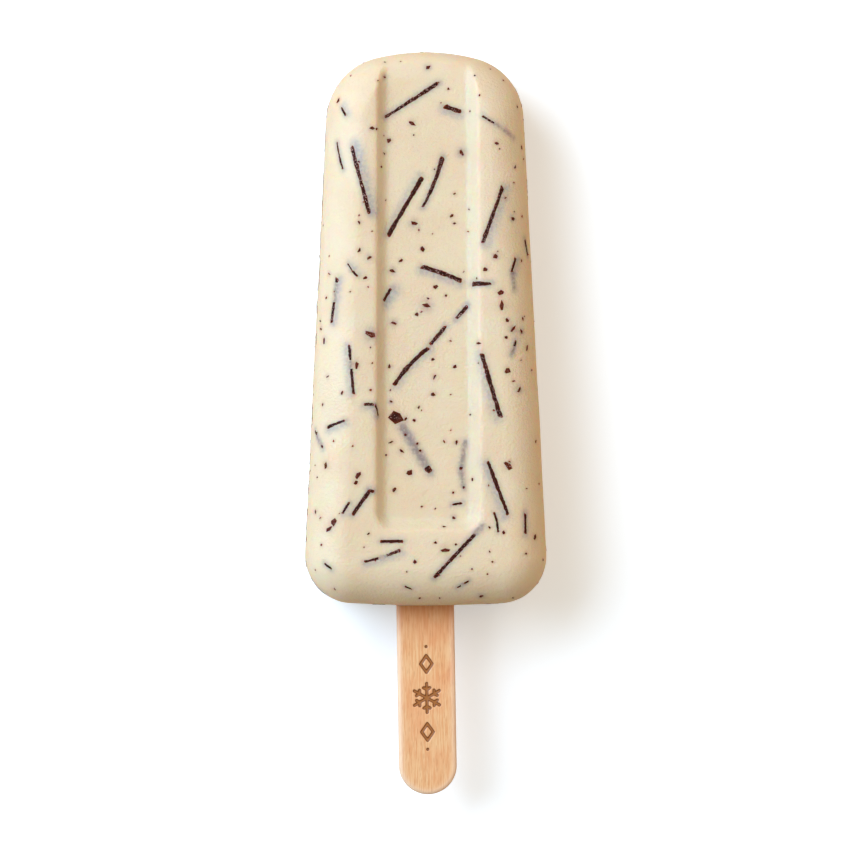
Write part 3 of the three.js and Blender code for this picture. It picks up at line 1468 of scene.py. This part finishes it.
SHOWN_SLIVERS = (
    Sliver((2, 58.75), (-7.25, 52.75), width=0.8, narrowing=0.35, veil=0.29, frost=0.8),
    Sliver((3, 54.75), (6, 53.75), width=0.85, veil=0.5, veil_side=-1),
    Sliver((9.5, 53), (15, 49.25), width=0.4, veil=0.25, sunk=(0.4, 1.1), sunk_veil=0.3, frost=1.0),
    Sliver((-14.75, 54.5), (-14, 53), width=0.45, veil=0.42, veil_side=1),
    Sliver((-15.5, 48.5), (-14.5, 43.75), width=0.4, bow=-0.1, veil=0.29),
    Sliver((-13, 47.75), (-10, 36), width=0.7, veil=0.59, veil_side=1, veil_reach=1.1, frost=0.9),
    Sliver((-0.75, 42.5), (-6.75, 32.25), width=0.8, veil=0.35, veil_side=-1, frost=0.25),
    Sliver((2.75, 46), (-0.75, 37.25), width=0.85, bow=0.3, veil=0.25, frost=0.45, narrowing=0.35),
    Sliver((13, 40.75), (9.5, 31), width=0.7, veil=0.5, veil_side=1, veil_reach=1, frost=0.5),
    Sliver((-15.5, 25), (-16.5, 17.25), width=0.65, veil=0.46, veil_side=1, sunk=(0.15, 0.48), frost=0.8),
    Sliver((-13.5, 13.5), (-12.75, 5), width=0.5, veil=0.42, veil_side=-1, sunk=(0.36, 0.44), frost=0.3),
    Sliver((-6.25, 23.25), (-7.5, 21), width=0.55, veil=0.63, veil_side=1, veil_reach=1.1, frost=0.2),
    Sliver((-1, 27), (6, 24.5), width=0.85, bow=0.15, veil=0.52, veil_side=-1, frost=0.7),
    Sliver((7.75, 24), (11, 24), width=1, veil=0.34, frost=0.4, narrowing=0.45),
    Sliver((7, 20.25), (5, 18), width=0.7, veil=0.5, frost=1.0),
    Sliver((3.25, 16.75), (0.5, 13.5), width=0.7, veil=0.34, frost=0.7),
    Sliver((0.25, 13), (-5.75, 6.5), width=0.8, bow=-0.4, veil=0.35, veil_side=1, frost=0.3),
    Sliver((9.25, 12), (12.5, 1), width=0.85, veil=0.42, veil_side=-1, veil_reach=0.95, frost=0.5),
    Sliver((15.25, 28.5), (14.5, 26), width=0.55, veil=0.5, veil_side=1, frost=0.2),
    Sliver((14.75, 26), (15, 23), width=0.45, veil=0.34, sunk=(-0.1, 1.1)),
    Sliver((17, 31.75), (17.5, 29), width=0.6, veil=0.38, frost=0.3),
    Sliver((15.25, 14.25), (14.5, 11.75), width=0.45, veil=0.42, sunk=(0.45, 1.1), frost=0.2),
    Sliver((-13.75, 27.5), (-13, 26.25), width=0.3, veil=0.25, veil_side=1, frost=0.6),
    Sliver((-13, 26.25), (-12, 25.25), width=0.45, veil=0.25, veil_side=1, frost=0.7),
    Sliver((-11, 3.25), (-9.25, 3.25), width=0.55, veil=0.34, veil_side=-1, frost=0.5),
    Sliver((-9, 3.25), (-8.5, 1.25), width=0.5, veil=0.5, veil_side=-1, veil_reach=0.7, frost=0.3),
    Sliver((-17.25, -0.75), (-14.25, 0.5), width=0.65, veil=0.46, veil_side=-1, frost=0.6, narrowing=0.4),
    Sliver((-4.25, -0.75), (0.5, -8.5), width=1.3, veil=0.46, sunk=(-0.1, 0.82), veil_reach=0.8),
    Sliver((6.5, -3.25), (5.75, -8), width=0.6, veil=0.34, sunk=(-0.1, 0.85)),
    Sliver((5.75, -8), (6.25, -11.25), width=0.55, veil=0.29, sunk=(-0.1, 0.82)),
    Sliver((4.25, -14), (6, -13.75), width=0.4, veil=0.34, frost=0.9),
    Sliver((10.25, -6.5), (13.75, -15.75), width=0.65, veil=0.5, veil_side=-1, veil_reach=0.95,
           frost=0.15),
    Sliver((11.25, -15.25), (12, -18.75), width=0.45, bow=0.2, veil=0.08, frost=0.1),
    Sliver((16.75, -15.5), (16.75, -19), width=0.5, veil=0.42, frost=0.1),
    Sliver((9.25, -17.75), (1, -26.5), width=0.7, veil=0.38, sunk=(-0.1, 0.1), frost=0.75),
    Sliver((-9.25, -11.75), (-10.25, -11.5), width=0.55, veil=0.42, frost=0.3),
    Sliver((-10, -11.5), (-13, -15.75), width=0.7, veil=0.25, frost=0.4),
    Sliver((-13.5, -13.5), (-14.75, -15.5), width=0.45, veil=0.25, veil_side=1, frost=0.3),
    Sliver((-19.25, -1.25), (-18, -4.25), width=0.45, veil=0.42, sunk=(0.3, 0.8)),
    Sliver((-8.25, -20.25), (-4.25, -20.25), width=0.6, veil=0.13, frost=0.1),
    Sliver((-11, -23.75), (-4.75, -21.75), width=0.55, bow=-0.15, veil=0.38, veil_side=-1, sunk=(0.44,
           0.56), frost=0.8),
    Sliver((-4, -28), (-2.75, -28.5), width=0.4, veil=0.08, frost=0.0),
    Sliver((5, -28.25), (7, -27), width=0.35, veil=0.29, sunk=(0.4, 0.62), frost=0.0),
    Sliver((-17.75, -24), (-16.5, -25), width=0.45, veil=0.25, frost=0.0),
)
SHOWN_CHIPS = (
    Chip((-9.5, 50.75), 0.85, 0.6), Chip((-8.7, 50.7), 0.55, 0.5),
    Chip((-6.5, 48.75), 0.8, 0.8, veil=0.25), Chip((-2.5, 51.75), 1.3, 0.6, -25),
    Chip((0.25, 61.5), 0.9, 0.6, 25, veil=0.34), Chip((-7.25, 59.75), 0.6, 0.4, veil=0.34, frost=0.9),
    Chip((6, 46.75), 1.3, 0.65, -70, veil=0.5), Chip((3.75, 57.75), 0.45, 0.4),
    Chip((-2.25, 49.75), 0.35, 0.3), Chip((12, 48.25), 0.8, 0.5, -20),
    Chip((-2.25, 34.5), 1.2, 0.6, -10, veil=0.38), Chip((-11.75, 34.5), 0.9, 0.35, -60),
    Chip((4.25, 35.75), 0.8, 0.55, 30), Chip((4.75, 34.5), 0.5, 0.35),
    Chip((14.75, 35.25), 0.8, 0.6, veil=0.42), Chip((15.25, 44.25), 0.7, 0.4, 60),
    Chip((16.5, 47.75), 0.8, 0.4, -70), Chip((-11.75, 29.75), 0.9, 0.5, 50),
    Chip((-10, 28.5), 0.9, 0.5, 40, veil=0.29), Chip((0, 20.25), 1.7, 0.7, -10, veil=0.34),
    Chip((-5.75, 17.25), 1.2, 0.5, -15, frost=1.0, veil=0.25),
    Chip((11.75, 28.75), 1.0, 0.7, 10, veil=0.25), Chip((10, 26.5), 0.9, 0.8, 20),
    Chip((12.5, 22.5), 1.3, 1.0, 30), Chip((12.75, 20.25), 1.9, 0.65, 88),
    Chip((13.75, 17.75), 0.9, 0.6, -50), Chip((16.5, 18), 0.7, 0.35, -60),
    Chip((14.75, 16.25), 1.4, 0.4, 55, veil=0.34), Chip((16.25, 15.75), 0.9, 0.5, -50, veil=0.34),
    Chip((13.5, 14.75), 0.7, 0.5), Chip((17.25, 13), 1.2, 0.35, 80), Chip((8.75, 13.75), 1.1, 0.5, 5),
    Chip((13.75, 9), 1.2, 1.1, 40), Chip((15.75, 5.75), 1.0, 0.45, 60, veil=0.42),
    Chip((1.5, 23.5), 0.8, 0.8), Chip((3.25, 22), 0.55, 0.45), Chip((-0.75, 30), 0.9, 0.9, frost=0.0),
    Chip((-4.5, 28), 0.7, 0.55, 20), Chip((-6, 26.25), 1.1, 0.6, -20, veil=0.25),
    Chip((-1.75, 18.75), 0.6, 0.6), Chip((1, 11), 0.65, 0.55), Chip((4.75, 9.75), 0.7, 0.65),
    Chip((1.25, 8), 1.0, 0.4, 65), Chip((1, 5), 0.95, 0.8, frost=0.0), Chip((-6.5, 9.75), 0.9, 0.45, 80),
    Chip((-3.75, 0.75), 0.8, 0.4, 50), Chip((-2.25, 0.5), 0.6, 0.5, -40),
    Chip((-18.25, 16.25), 1.0, 0.35, 80), Chip((-17.75, 14.25), 1.2, 0.5, 85),
    Chip((-14.75, 5.25), 0.7, 0.4, 80), Chip((-18, 3.25), 0.6, 0.35, 80),
    Chip((-6.25, 3.75), 0.6, 0.4, -20, veil=0.25), Chip((-1.5, 2.75), 0.65, 0.35, 50),
    Chip((13.75, -7.25), 1.7, 1.2, -40, frost=1.0), Chip((5, -3.25), 0.8, 0.4, 80),
    Chip((-3, -8.5), 1.2, 1.1, -20), Chip((-5.75, -11.5), 1.0, 0.6, 70),
    Chip((-4.5, -4.75), 1.0, 0.5, -40), Chip((-6.25, -3.25), 0.9, 0.4, 20),
    Chip((-3.75, -2), 0.5, 0.45, veil=0.42), Chip((-1.75, -3.5), 0.5, 0.45),
    Chip((-1.25, -4.75), 0.6, 0.45), Chip((-12, -9), 1.3, 0.8, 60), Chip((-12.4, -10.2), 0.9, 0.6, 50),
    Chip((-17.5, -7.25), 1.5, 0.55, 85), Chip((18.5, -19.5), 1.1, 0.6, 70),
    Chip((13, -18.75), 0.65, 0.5, -60), Chip((4.5, -16.25), 0.8, 0.45, -10, veil=0.25),
    Chip((-2.25, -23.75), 0.75, 0.65), Chip((3, -21.75), 1.6, 0.65, 8), Chip((2.75, -17.75), 0.6, 0.45),
    Chip((1.25, -20.5), 0.5, 0.5), Chip((4.75, -20.75), 0.5, 0.4), Chip((7.5, -25), 0.4, 0.3),
    Chip((11, -23.75), 0.45, 0.4), Chip((9.25, -29.75), 0.9, 0.6, veil=0.42),
    Chip((-19.25, -15.25), 0.9, 0.4, -70), Chip((-12.25, 10), 1.4, 0.65, 85, frost=0.1),
    Chip((-15.25, 55.75), 0.9, 0.6, 40, frost=0.7), Chip((-16.2, -17), 1.3, 0.9, 60),
    Chip((-16.9, -18.1), 1.4, 0.7, 30), Chip((-10.75, 25), 0.8, 0.45, 20),
    Chip((-9.75, 15.25), 1.9, 1.0, -20, veil=0.5, frost=0.5),
    Chip((-5.4, 1.1), 2.7, 1.9, -30, frost=0.5, fringe=0.3),
)


@dataclass(frozen=True)
class Scatter:
    """Where chocolate lies on the parts of the bar that can't be set out one by one."""

    seed: int = 417
    shown_facing: float = 0.05
    stick_room: float = 7.0
    stick_end_room: float = 1.0
    sliver_count: int = 74
    sliver_spacing: float = 7.5
    sliver_lengths: tuple[Span, ...] = ((2.0, 4.5), (4.0, 8.0), (7.0, 11.5))
    sliver_widths: Span = (0.4, 0.85)
    sliver_bow: float = 0.15
    sliver_veils: Span = (0.2, 0.6)
    sliver_veil_reaches: Span = (0.6, 1.1)
    sliver_frosts: Span = (0.1, 0.9)
    sunk_share: float = 0.4
    sunk_starts: Span = (0.0, 0.9)
    sunk_lengths: Span = (0.1, 0.5)
    tries: int = 14
    least_length: float = 2.4
    shortening: float = 0.9
    least_slimness: float = 5.5
    least_flatness: float = 0.75
    chip_count: int = 95
    chip_spacing: float = 3.2
    chip_lengths: Span = (0.6, 1.6)
    chip_widths: Span = (0.4, 0.9)
    chip_veils: Triple = (0.0, 0.0, 0.35)
    chip_frosts: Span = (0.0, 0.7)
    crumb_count: int = 250
    crumb_spacing: float = 2.0
    crumb_least: Span = (0.22, 0.2)
    crumb_extra: Span = (0.5, 0.25)
    crumb_rarity: float = 2.2
    crumb_fringes: Span = (0.45, 1.0)
    turns: Span = (0.0, 180.0)

    def spots(self, points: Array, rng: np.random.Generator, count: int, spacing: float) -> list[Array]:
        """Picks places on the surface that are well apart.

        Args:
            points: the places to pick from.
            rng: where the random draws come from.
            count: how many are wanted.
            spacing: the least distance between two.

        Returns:
            The picked places, maybe fewer than wanted.
        """
        picked: list[Array] = []
        for index in rng.permutation(len(points)):
            if len(picked) == count:
                break
            spot = points[index]
            if all(np.sum((spot - other) ** 2) > spacing**2 for other in picked):
                picked.append(spot)
        return picked

    def slivers(self, form: BarForm, places: Array, rng: np.random.Generator) -> list[Sliver]:
        """Slivers with random lengths, directions and veils.

        Args:
            form: the bar that they lie on.
            places: where they may lie.
            rng: where the random draws come from.

        Returns:
            The slivers.
        """
        spots = self.spots(places, rng, self.sliver_count, self.sliver_spacing)
        return [self.sliver(form, spot, rng) for spot in spots]

    def sliver(self, form: BarForm, spot: Array, rng: np.random.Generator) -> Sliver:
        """A random sliver. It is shortened until it lies flat and clear of the shown face.

        Args:
            form: the bar that it lies on.
            spot: its middle.
            rng: where the random draws come from.

        Returns:
            The sliver.
        """
        length = float(rng.choice([rng.uniform(*span) for span in self.sliver_lengths]))
        normal = form.normals(spot[None])[0]
        for _ in range(self.tries):
            way = rng.normal(size=3)
            way = unit(way - normal * (way @ normal))
            ends = form.settle(np.stack([spot - way * length / 2.0, spot + way * length / 2.0]))
            facing = form.normals(ends)
            if facing[0] @ facing[1] > self.least_flatness and facing[:, 2].max() < self.shown_facing:
                break
            length = max(self.least_length, self.shortening * length)
        sunk_from = rng.uniform(*self.sunk_starts)
        sinks = rng.random() < self.sunk_share
        sunk = (sunk_from, sunk_from + rng.uniform(*self.sunk_lengths)) if sinks else Sliver.AFLOAT
        return Sliver(
            tuple(ends[0]),
            tuple(ends[1]),
            width=float(min(rng.uniform(*self.sliver_widths), length / self.least_slimness)),
            bow=float(rng.normal(0.0, self.sliver_bow)),
            veil=float(rng.uniform(*self.sliver_veils)),
            veil_side=float(rng.choice([-1, 0, 1])),
            veil_reach=float(rng.uniform(*self.sliver_veil_reaches)),
            sunk=sunk,
            frost=float(rng.uniform(*self.sliver_frosts)),
        )

    def chips(self, places: Array, rng: np.random.Generator) -> list[Chip]:
        """Chips with random sizes and turns.

        Args:
            places: where they may lie.
            rng: where the random draws come from.

        Returns:
            The chips.
        """
        return [
            Chip(
                tuple(spot),
                length=float(rng.uniform(*self.chip_lengths)),
                width=float(rng.uniform(*self.chip_widths)),
                turn=float(rng.uniform(*self.turns)),
                veil=float(rng.choice(self.chip_veils)),
                frost=float(rng.uniform(*self.chip_frosts)),
            )
            for spot in self.spots(places, rng, self.chip_count, self.chip_spacing)
        ]

    def crumbs(self, places: Array, rng: np.random.Generator) -> list[Chip]:
        """Crumbs, most of them very small.

        Args:
            places: where they may lie.
            rng: where the random draws come from.

        Returns:
            The crumbs.
        """
        return [
            Chip(
                tuple(spot),
                length=float(self.crumb_least[0] + self.crumb_extra[0] * rng.random() ** self.crumb_rarity),
                width=float(self.crumb_least[1] + self.crumb_extra[1] * rng.random()),
                turn=float(rng.uniform(*self.turns)),
                frost=0.0,
                fringe=float(rng.uniform(*self.crumb_fringes)),
            )
            for spot in self.spots(places, rng, self.crumb_count, self.crumb_spacing)
        ]


# ---------------------------------------------------------------------------------------------------
# Sub-assemblies


@dataclass(frozen=True)
class GelatoBar:
    """The moulded gelato with the chocolate set in its surface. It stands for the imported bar."""

    form: BarForm
    net: SurfaceNet = SurfaceNet()
    finish: GelatoFinish = GelatoFinish()
    chocolate: ChocolateFinish = ChocolateFinish()
    sliver_shape: SliverShape = SliverShape()
    chip_shape: ChipShape = ChipShape()
    scatter: Scatter = Scatter()
    margin: float = 1.2
    veil_span: float = 2.4

    def build(self, shelf: EffectShelf) -> list[bpy.types.Object]:
        """Builds and dresses the gelato and its chocolate.

        Args:
            shelf: the shared effects.

        Returns:
            The pieces: the gelato, slivers, chips and crumbs.
        """
        low, high = (np.array(corner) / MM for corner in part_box("gelato_bar"))
        points, faces = self.net.knit(self.form, low - self.margin, high + self.margin)
        points = self.net.even_out(self.form, points, faces)
        rng = np.random.default_rng(self.scatter.seed)
        hidden = self.hidden_places(points)
        slivers = [*SHOWN_SLIVERS, *self.scatter.slivers(self.form, hidden, rng)]
        chips = [*SHOWN_CHIPS, *self.scatter.chips(hidden, rng)]
        crumbs = self.scatter.crumbs(self.free_places(points), rng)
        tracks = lay(self.form, slivers)
        small = [*chips, *crumbs]
        seats = self.form.seats([chip.place for chip in small])
        veils = [veil for sliver, track in zip(slivers, tracks) for veil in sliver.veils(track)]
        veils += [veil for chip, seat in zip(small, seats) for veil in chip.veils(seat)]
        gelato = mesh_piece("gelato_body", points, faces)
        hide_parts("gelato_bar")
        for kind in Tinge:
            paint(gelato, kind.value, self.cast(points, [veil for veil in veils if veil.kind is kind]))
        gelato.data.materials.append(self.finish.material(shelf))
        material = self.chocolate.material(shelf)
        long_ones = Inlay(self.form)
        for sliver, track in zip(slivers, tracks):
            self.sliver_shape.add_to(long_ones, sliver, track)
        return [
            gelato,
            long_ones.piece("chocolate_slivers", material),
            self.chip_inlay(chips, rng).piece("chocolate_chips", material),
            self.chip_inlay(crumbs, rng).piece("chocolate_crumbs", material),
        ]

    def chip_inlay(self, chips: list[Chip], rng: np.random.Generator) -> Inlay:
        """Gathers chips or crumbs.

        Args:
            chips: the chips.
            rng: where their uneven outlines are drawn from.

        Returns:
            The gathered chocolate.
        """
        inlay = Inlay(self.form)
        seats = self.form.seats([chip.place for chip in chips])
        for chip, seat, normal in zip(chips, seats, self.form.normals(seats)):
            self.chip_shape.add_to(inlay, chip, seat, normal, rng)
        return inlay

    def free_places(self, points: Array) -> Array:
        """Leaves out the place where the stick comes out.

        Args:
            points: points on the bar.

        Returns:
            The points that are clear of it.
        """
        across, along, _ = self.form.stick().from_bar(points).T
        clear_along = along > self.scatter.stick_end_room
        return points[clear_along | (np.abs(across) > self.scatter.stick_room)]

    def hidden_places(self, points: Array) -> Array:
        """The points that the shown face's own list of slivers doesn't reach."""
        free = self.free_places(points)
        return free[self.form.normals(free)[:, 2] < self.scatter.shown_facing]

    def cast(self, points: Array, veils: list[Veil]) -> Array:
        """Casts veils over the gelato.

        Args:
            points: the gelato's points.
            veils: the veils.

        Returns:
            How much each point is changed by all the veils near it, from 0 to 1.
        """
        clear = np.ones(len(points))
        for veil in veils:
            far = self.veil_span * veil.reach
            low, high = veil.points.min(axis=0) - far, veil.points.max(axis=0) + far
            near = np.flatnonzero(((points > low) & (points < high)).all(axis=1))
            gaps = points[near, None] - veil.points[None]
            nearest = (gaps**2).sum(axis=2).min(axis=1)
            clear[near] *= 1.0 - veil.strength * np.exp(-nearest / veil.reach**2)
        return 1.0 - clear


@dataclass(frozen=True)
class Mark:
    """A burnt-in ornament for the stick: straight strokes and dots, symmetrical about its middle line."""

    centre: float = -16.3
    arm: float = 2.5
    arms: int = 6
    barb_from: float = 0.58
    barb: float = 0.62
    barb_turn: float = math.pi / 3.0
    diamonds: tuple[float, ...] = (-10.4, -22.2)
    diamond_half: tuple[float, float] = (1.0, 1.45)
    dots: tuple[float, ...] = (-7.4, -25.2)

    def strokes(self) -> list[tuple[Array, Array]]:
        """Sets out the strokes.

        Returns:
            Every stroke's two ends, across and along the stick. A dot's ends are the same place.
        """
        middle = np.array([0.0, self.centre])
        made = []
        for index in range(self.arms):
            turn = math.tau * index / self.arms + math.pi / 2.0
            way = np.array([math.cos(turn), math.sin(turn)])
            made.append((middle, middle + way * self.arm))
            fork = middle + way * self.arm * self.barb_from
            for side in (-1.0, 1.0):
                bend = turn + side * self.barb_turn
                made.append((fork, fork + self.barb * np.array([math.cos(bend), math.sin(bend)])))
        half_x, half_y = self.diamond_half
        for y in self.diamonds:
            ring = [np.array([half_x * c, y + half_y * s]) for c, s in ((1, 0), (0, 1), (-1, 0), (0, -1))]
            made += list(zip(ring, ring[1:] + ring[:1]))
        return made + [(np.array([0.0, y]), np.array([0.0, y])) for y in self.dots]

    def distance(self, across: Array, along: Array) -> Array:
        """Measures from the strokes.

        Args:
            across: places across the stick's face.
            along: places along it.

        Returns:
            How far each place is from the nearest stroke's middle.
        """
        places = np.stack([across, along], axis=-1)
        nearest = np.full(across.shape, FAR)
        for start, end in self.strokes():
            way = end - start
            share = np.clip((places - start) @ way / max(way @ way, TINY), 0.0, 1.0)
            nearest = np.minimum(nearest, np.linalg.norm(places - start - share[..., None] * way, axis=-1))
        return nearest


@dataclass(frozen=True)
class WoodenStick:
    """The flat birch stick, with eased edges, round ends and a burnt-in mark on its shown face."""

    form: StickForm
    finish: BirchFinish = BirchFinish()
    mark: Mark = Mark()
    ease_across: float = 0.7
    ease_through: float = 0.5
    stroke: float = 0.5
    groove_floor: float = 0.25
    groove_wall: float = 0.5
    engraving: float = 0.16
    fine_step: float = 0.12
    fine_past_entry: float = 1.0
    coarse_step: float = 4.0
    end_steps: int = 46
    buried_end_stride: int = 6
    face_points: int = 72
    crowding: float = 0.45
    back_points: int = 26
    least_half: float = 0.06
    # how far in from the edges the painted highlight reaches, and how strong it is
    highlight_reach: float = 0.75
    highlight_strength: float = 0.46
    # how far out from the bar the painted warm shade reaches, and how strong it is
    warm_shade_reach: float = 3.2
    warm_shade_strength: float = 0.42

    def build(self, shelf: EffectShelf) -> bpy.types.Object:
        """Builds and dresses the stick.

        Args:
            shelf: the shared effects.

        Returns:
            The piece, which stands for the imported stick.
        """
        along, halves = self.stations()
        around, on_face = self.loop()
        x = halves[:, None] * around
        y = np.broadcast_to(along[:, None], x.shape)
        inset = self.inset(x, y)
        from_stroke = np.where(on_face, self.mark.distance(x, y), FAR) / self.stroke
        cut = soft_step(1.0 - (from_stroke - self.groove_floor) / self.groove_wall)
        height = self.form.thickness / 2.0 - self.ease(inset)
        z = np.where(on_face, height - self.engraving * cut, -height)
        points = self.form.to_bar(np.stack([x, y, z], axis=-1).reshape(-1, 3))
        stick = mesh_piece("stick_body", points, tube_faces(*x.shape))
        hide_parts("wooden_stick")
        paint(stick, "scorch", soft_step(1.0 - from_stroke).ravel())
        # Painted highlight: the eased edges are lightened, as where they catch the light.
        edge = self.highlight_strength * np.exp(-((inset / self.highlight_reach) ** 2))
        paint(stick, "edge", edge.ravel())
        # Painted warm shade: darkest and most orange where the stick enters the bar, fading along it.
        painted_warm_shade = self.warm_shade_strength * np.exp(-np.maximum(-y, 0.0) / self.warm_shade_reach)
        paint(stick, "painted_warm_shade", (painted_warm_shade * (y < self.warm_shade_reach)).ravel())
        stick.data.materials.append(self.finish.material(shelf))
        return stick

    def loop(self) -> tuple[Array, Array]:
        """Sets out the points of the loop round the stick, closer together towards its edges.

        Returns:
            Where each point is across the stick, from -1 to 1, and whether it is on the shown face.
        """
        even = np.linspace(-1.0, 1.0, self.face_points)
        crowded = np.sin(even * math.pi / 2.0)
        face = even + self.crowding * (crowded - even)
        back = np.sin(np.linspace(1.0, -1.0, self.back_points) * math.pi / 2.0)
        around = np.concatenate([face, back])
        return around, np.arange(len(around)) < self.face_points

    def stations(self) -> tuple[Array, Array]:
        """Sets out the stick's sections, close together where it shows.

        Returns:
            Where each section is along the stick, and its half width.
        """
        radius = self.form.width / 2.0
        turns = np.linspace(0.5 * math.pi, 0.0, self.end_steps)
        buried_turns = turns[:: -self.buried_end_stride]
        out_end = -self.form.showing
        in_end = out_end + self.form.length
        straight = out_end + radius
        fine = np.arange(straight + self.fine_step, self.fine_past_entry, self.fine_step)
        coarse = np.arange(fine[-1] + self.coarse_step, in_end - radius - self.fine_step, self.coarse_step)
        shown_end = straight - radius * np.sin(turns)
        buried_end = in_end - radius + radius * np.sin(buried_turns)
        whole = np.full(len(fine) + len(coarse), radius)
        halves = np.concatenate([radius * np.cos(turns), whole, radius * np.cos(buried_turns)])
        return np.concatenate([shown_end, fine, coarse, buried_end]), np.maximum(halves, self.least_half)

    def inset(self, x: Array, y: Array) -> Array:
        """Measures from the stick's outline.

        Args:
            x: places across the stick.
            y: places along it.

        Returns:
            How far inside the outline each place is.
        """
        radius = self.form.width / 2.0
        straight = -self.form.showing + radius
        far = straight + self.form.length - self.form.width
        beyond = np.maximum(np.maximum(straight - y, y - far), 0.0)
        return np.maximum(radius - np.hypot(x, beyond), 0.0)

    def ease(self, inset: Array) -> Array:
        """How much lower the face is near the edge, where it is eased."""
        out = np.clip(1.0 - inset / self.ease_across, 0.0, 1.0)
        return self.ease_through * (1.0 - np.sqrt(1.0 - out * out))


@dataclass(frozen=True)
class Lamp:
    """A large soft light: which way it shines from, how far off it is, its size, power and colour."""

    direction: Triple
    distance: float
    size: float
    watts: float
    colour: Triple

    def place(self, name: str, aim: Triple) -> bpy.types.Object:
        """Puts the light in the scene.

        Args:
            name: the light's name.
            aim: the place that it is turned towards.

        Returns:
            The light.
        """
        lamp = bpy.data.lights.new(name, "AREA")
        lamp.shape = "SQUARE"
        lamp.size = self.size
        lamp.energy = self.watts
        lamp.color = self.colour
        light = bpy.data.objects.new(name, lamp)
        way = Vector(self.direction).normalized()
        light.location = Vector(aim) + way * self.distance
        light.rotation_euler = way.to_track_quat("Z", "Y").to_euler()
        bpy.context.scene.collection.objects.link(light)
        return light


@dataclass(frozen=True)
class Studio:
    """The plain set round the bar: floor, soft light and camera. Lengths are in metres."""

    floor_half: float = 2.5
    floor_finish: FloorFinish = FloorFinish()
    surround: float = 0.24
    surround_colour: Triple = (1.08, 0.96, 0.76)
    key: Lamp = Lamp((-0.59, 0.36, 0.72), distance=0.8, size=0.6, watts=7.4, colour=(0.87, 1.0, 1.2))
    side: Lamp = Lamp((-0.97, 0.0, 0.25), distance=0.8, size=0.5, watts=1.3, colour=(0.5, 0.9, 1.3))
    fill: Lamp = Lamp((0.56, 0.26, 0.79), distance=0.9, size=0.8, watts=2.2, colour=(1.4, 0.95, 0.62))
    camera_distance: float = 0.9
    camera_lean: float = math.radians(-2.5)
    aim: Triple = (0.0, -0.0003, 0.012)
    view_width: float = 0.1478
    sensor_mm: float = 36.0

    def build(self, shelf: EffectShelf) -> bpy.types.Object:
        """Sets everything up in the scene.

        Args:
            shelf: the shared effects.

        Returns:
            The floor.
        """
        scene = bpy.context.scene
        scene.view_settings.view_transform = "Standard"
        scene.world = self.world()
        scene.camera = self.camera()
        self.key.place("key_light", self.aim)
        self.side.place("side_light", self.aim)
        self.fill.place("fill_light", self.aim)
        return self.floor(shelf)

    def world(self) -> bpy.types.World:
        """Makes even light from all round.

        Returns:
            The world.
        """
        world = bpy.data.worlds.new("surround")
        world.use_nodes = True
        shader = world.node_tree.nodes["Background"]
        shader.inputs["Color"].default_value = (*self.surround_colour, 1.0)
        shader.inputs["Strength"].default_value = self.surround
        return world

    def camera(self) -> bpy.types.Object:
        """Puts up a long lens that looks down on the bar, leaning a little to one side.

        Returns:
            The camera.
        """
        lens = bpy.data.cameras.new("camera")
        lens.sensor_width = self.sensor_mm
        lens.lens = self.sensor_mm * self.camera_distance / self.view_width
        lens.clip_end = 2.0 * self.floor_half
        camera = bpy.data.objects.new("camera", lens)
        turned = Matrix.Rotation(self.camera_lean, 4, "Y")
        away = Matrix.Translation((0.0, 0.0, self.camera_distance))
        camera.matrix_world = Matrix.Translation(self.aim) @ turned @ away
        bpy.context.scene.collection.objects.link(camera)
        return camera

    def floor(self, shelf: EffectShelf) -> bpy.types.Object:
        """Lays a wide plain floor in the plane that the bar rests on.

        Args:
            shelf: the shared effects.

        Returns:
            The floor.
        """
        half = self.floor_half
        mesh = bpy.data.meshes.new("floor")
        corners = [(-half, -half, 0.0), (half, -half, 0.0), (half, half, 0.0), (-half, half, 0.0)]
        mesh.from_pydata(corners, [], [(0, 1, 2, 3)])
        mesh.materials.append(self.floor_finish.material(shelf))
        floor = bpy.data.objects.new("floor", mesh)
        bpy.context.scene.collection.objects.link(floor)
        return floor


# ---------------------------------------------------------------------------------------------------
# The scene


def report(piece: bpy.types.Object) -> None:
    """Logs a piece's name, triangles and size.

    Args:
        piece: the piece.
    """
    triangles = sum(len(face.vertices) - 2 for face in piece.data.polygons)
    size = " x ".join(f"{length / MM:.1f}" for length in piece.dimensions)
    log.info("%s: %d triangles, %s mm", piece.name, triangles, size)


def main() -> None:
    """Builds the bar, the stick and the set."""
    logging.basicConfig(level=logging.INFO, format="%(name)s: %(message)s")
    low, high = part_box("gelato_bar")
    form = BarForm(low[1] / MM, high[1] / MM)
    shelf = EffectShelf()
    for piece in GelatoBar(form).build(shelf):
        report(piece)
    report(WoodenStick(form.stick()).build(shelf))
    report(Studio().build(shelf))


if __name__ == "__main__":
    main()
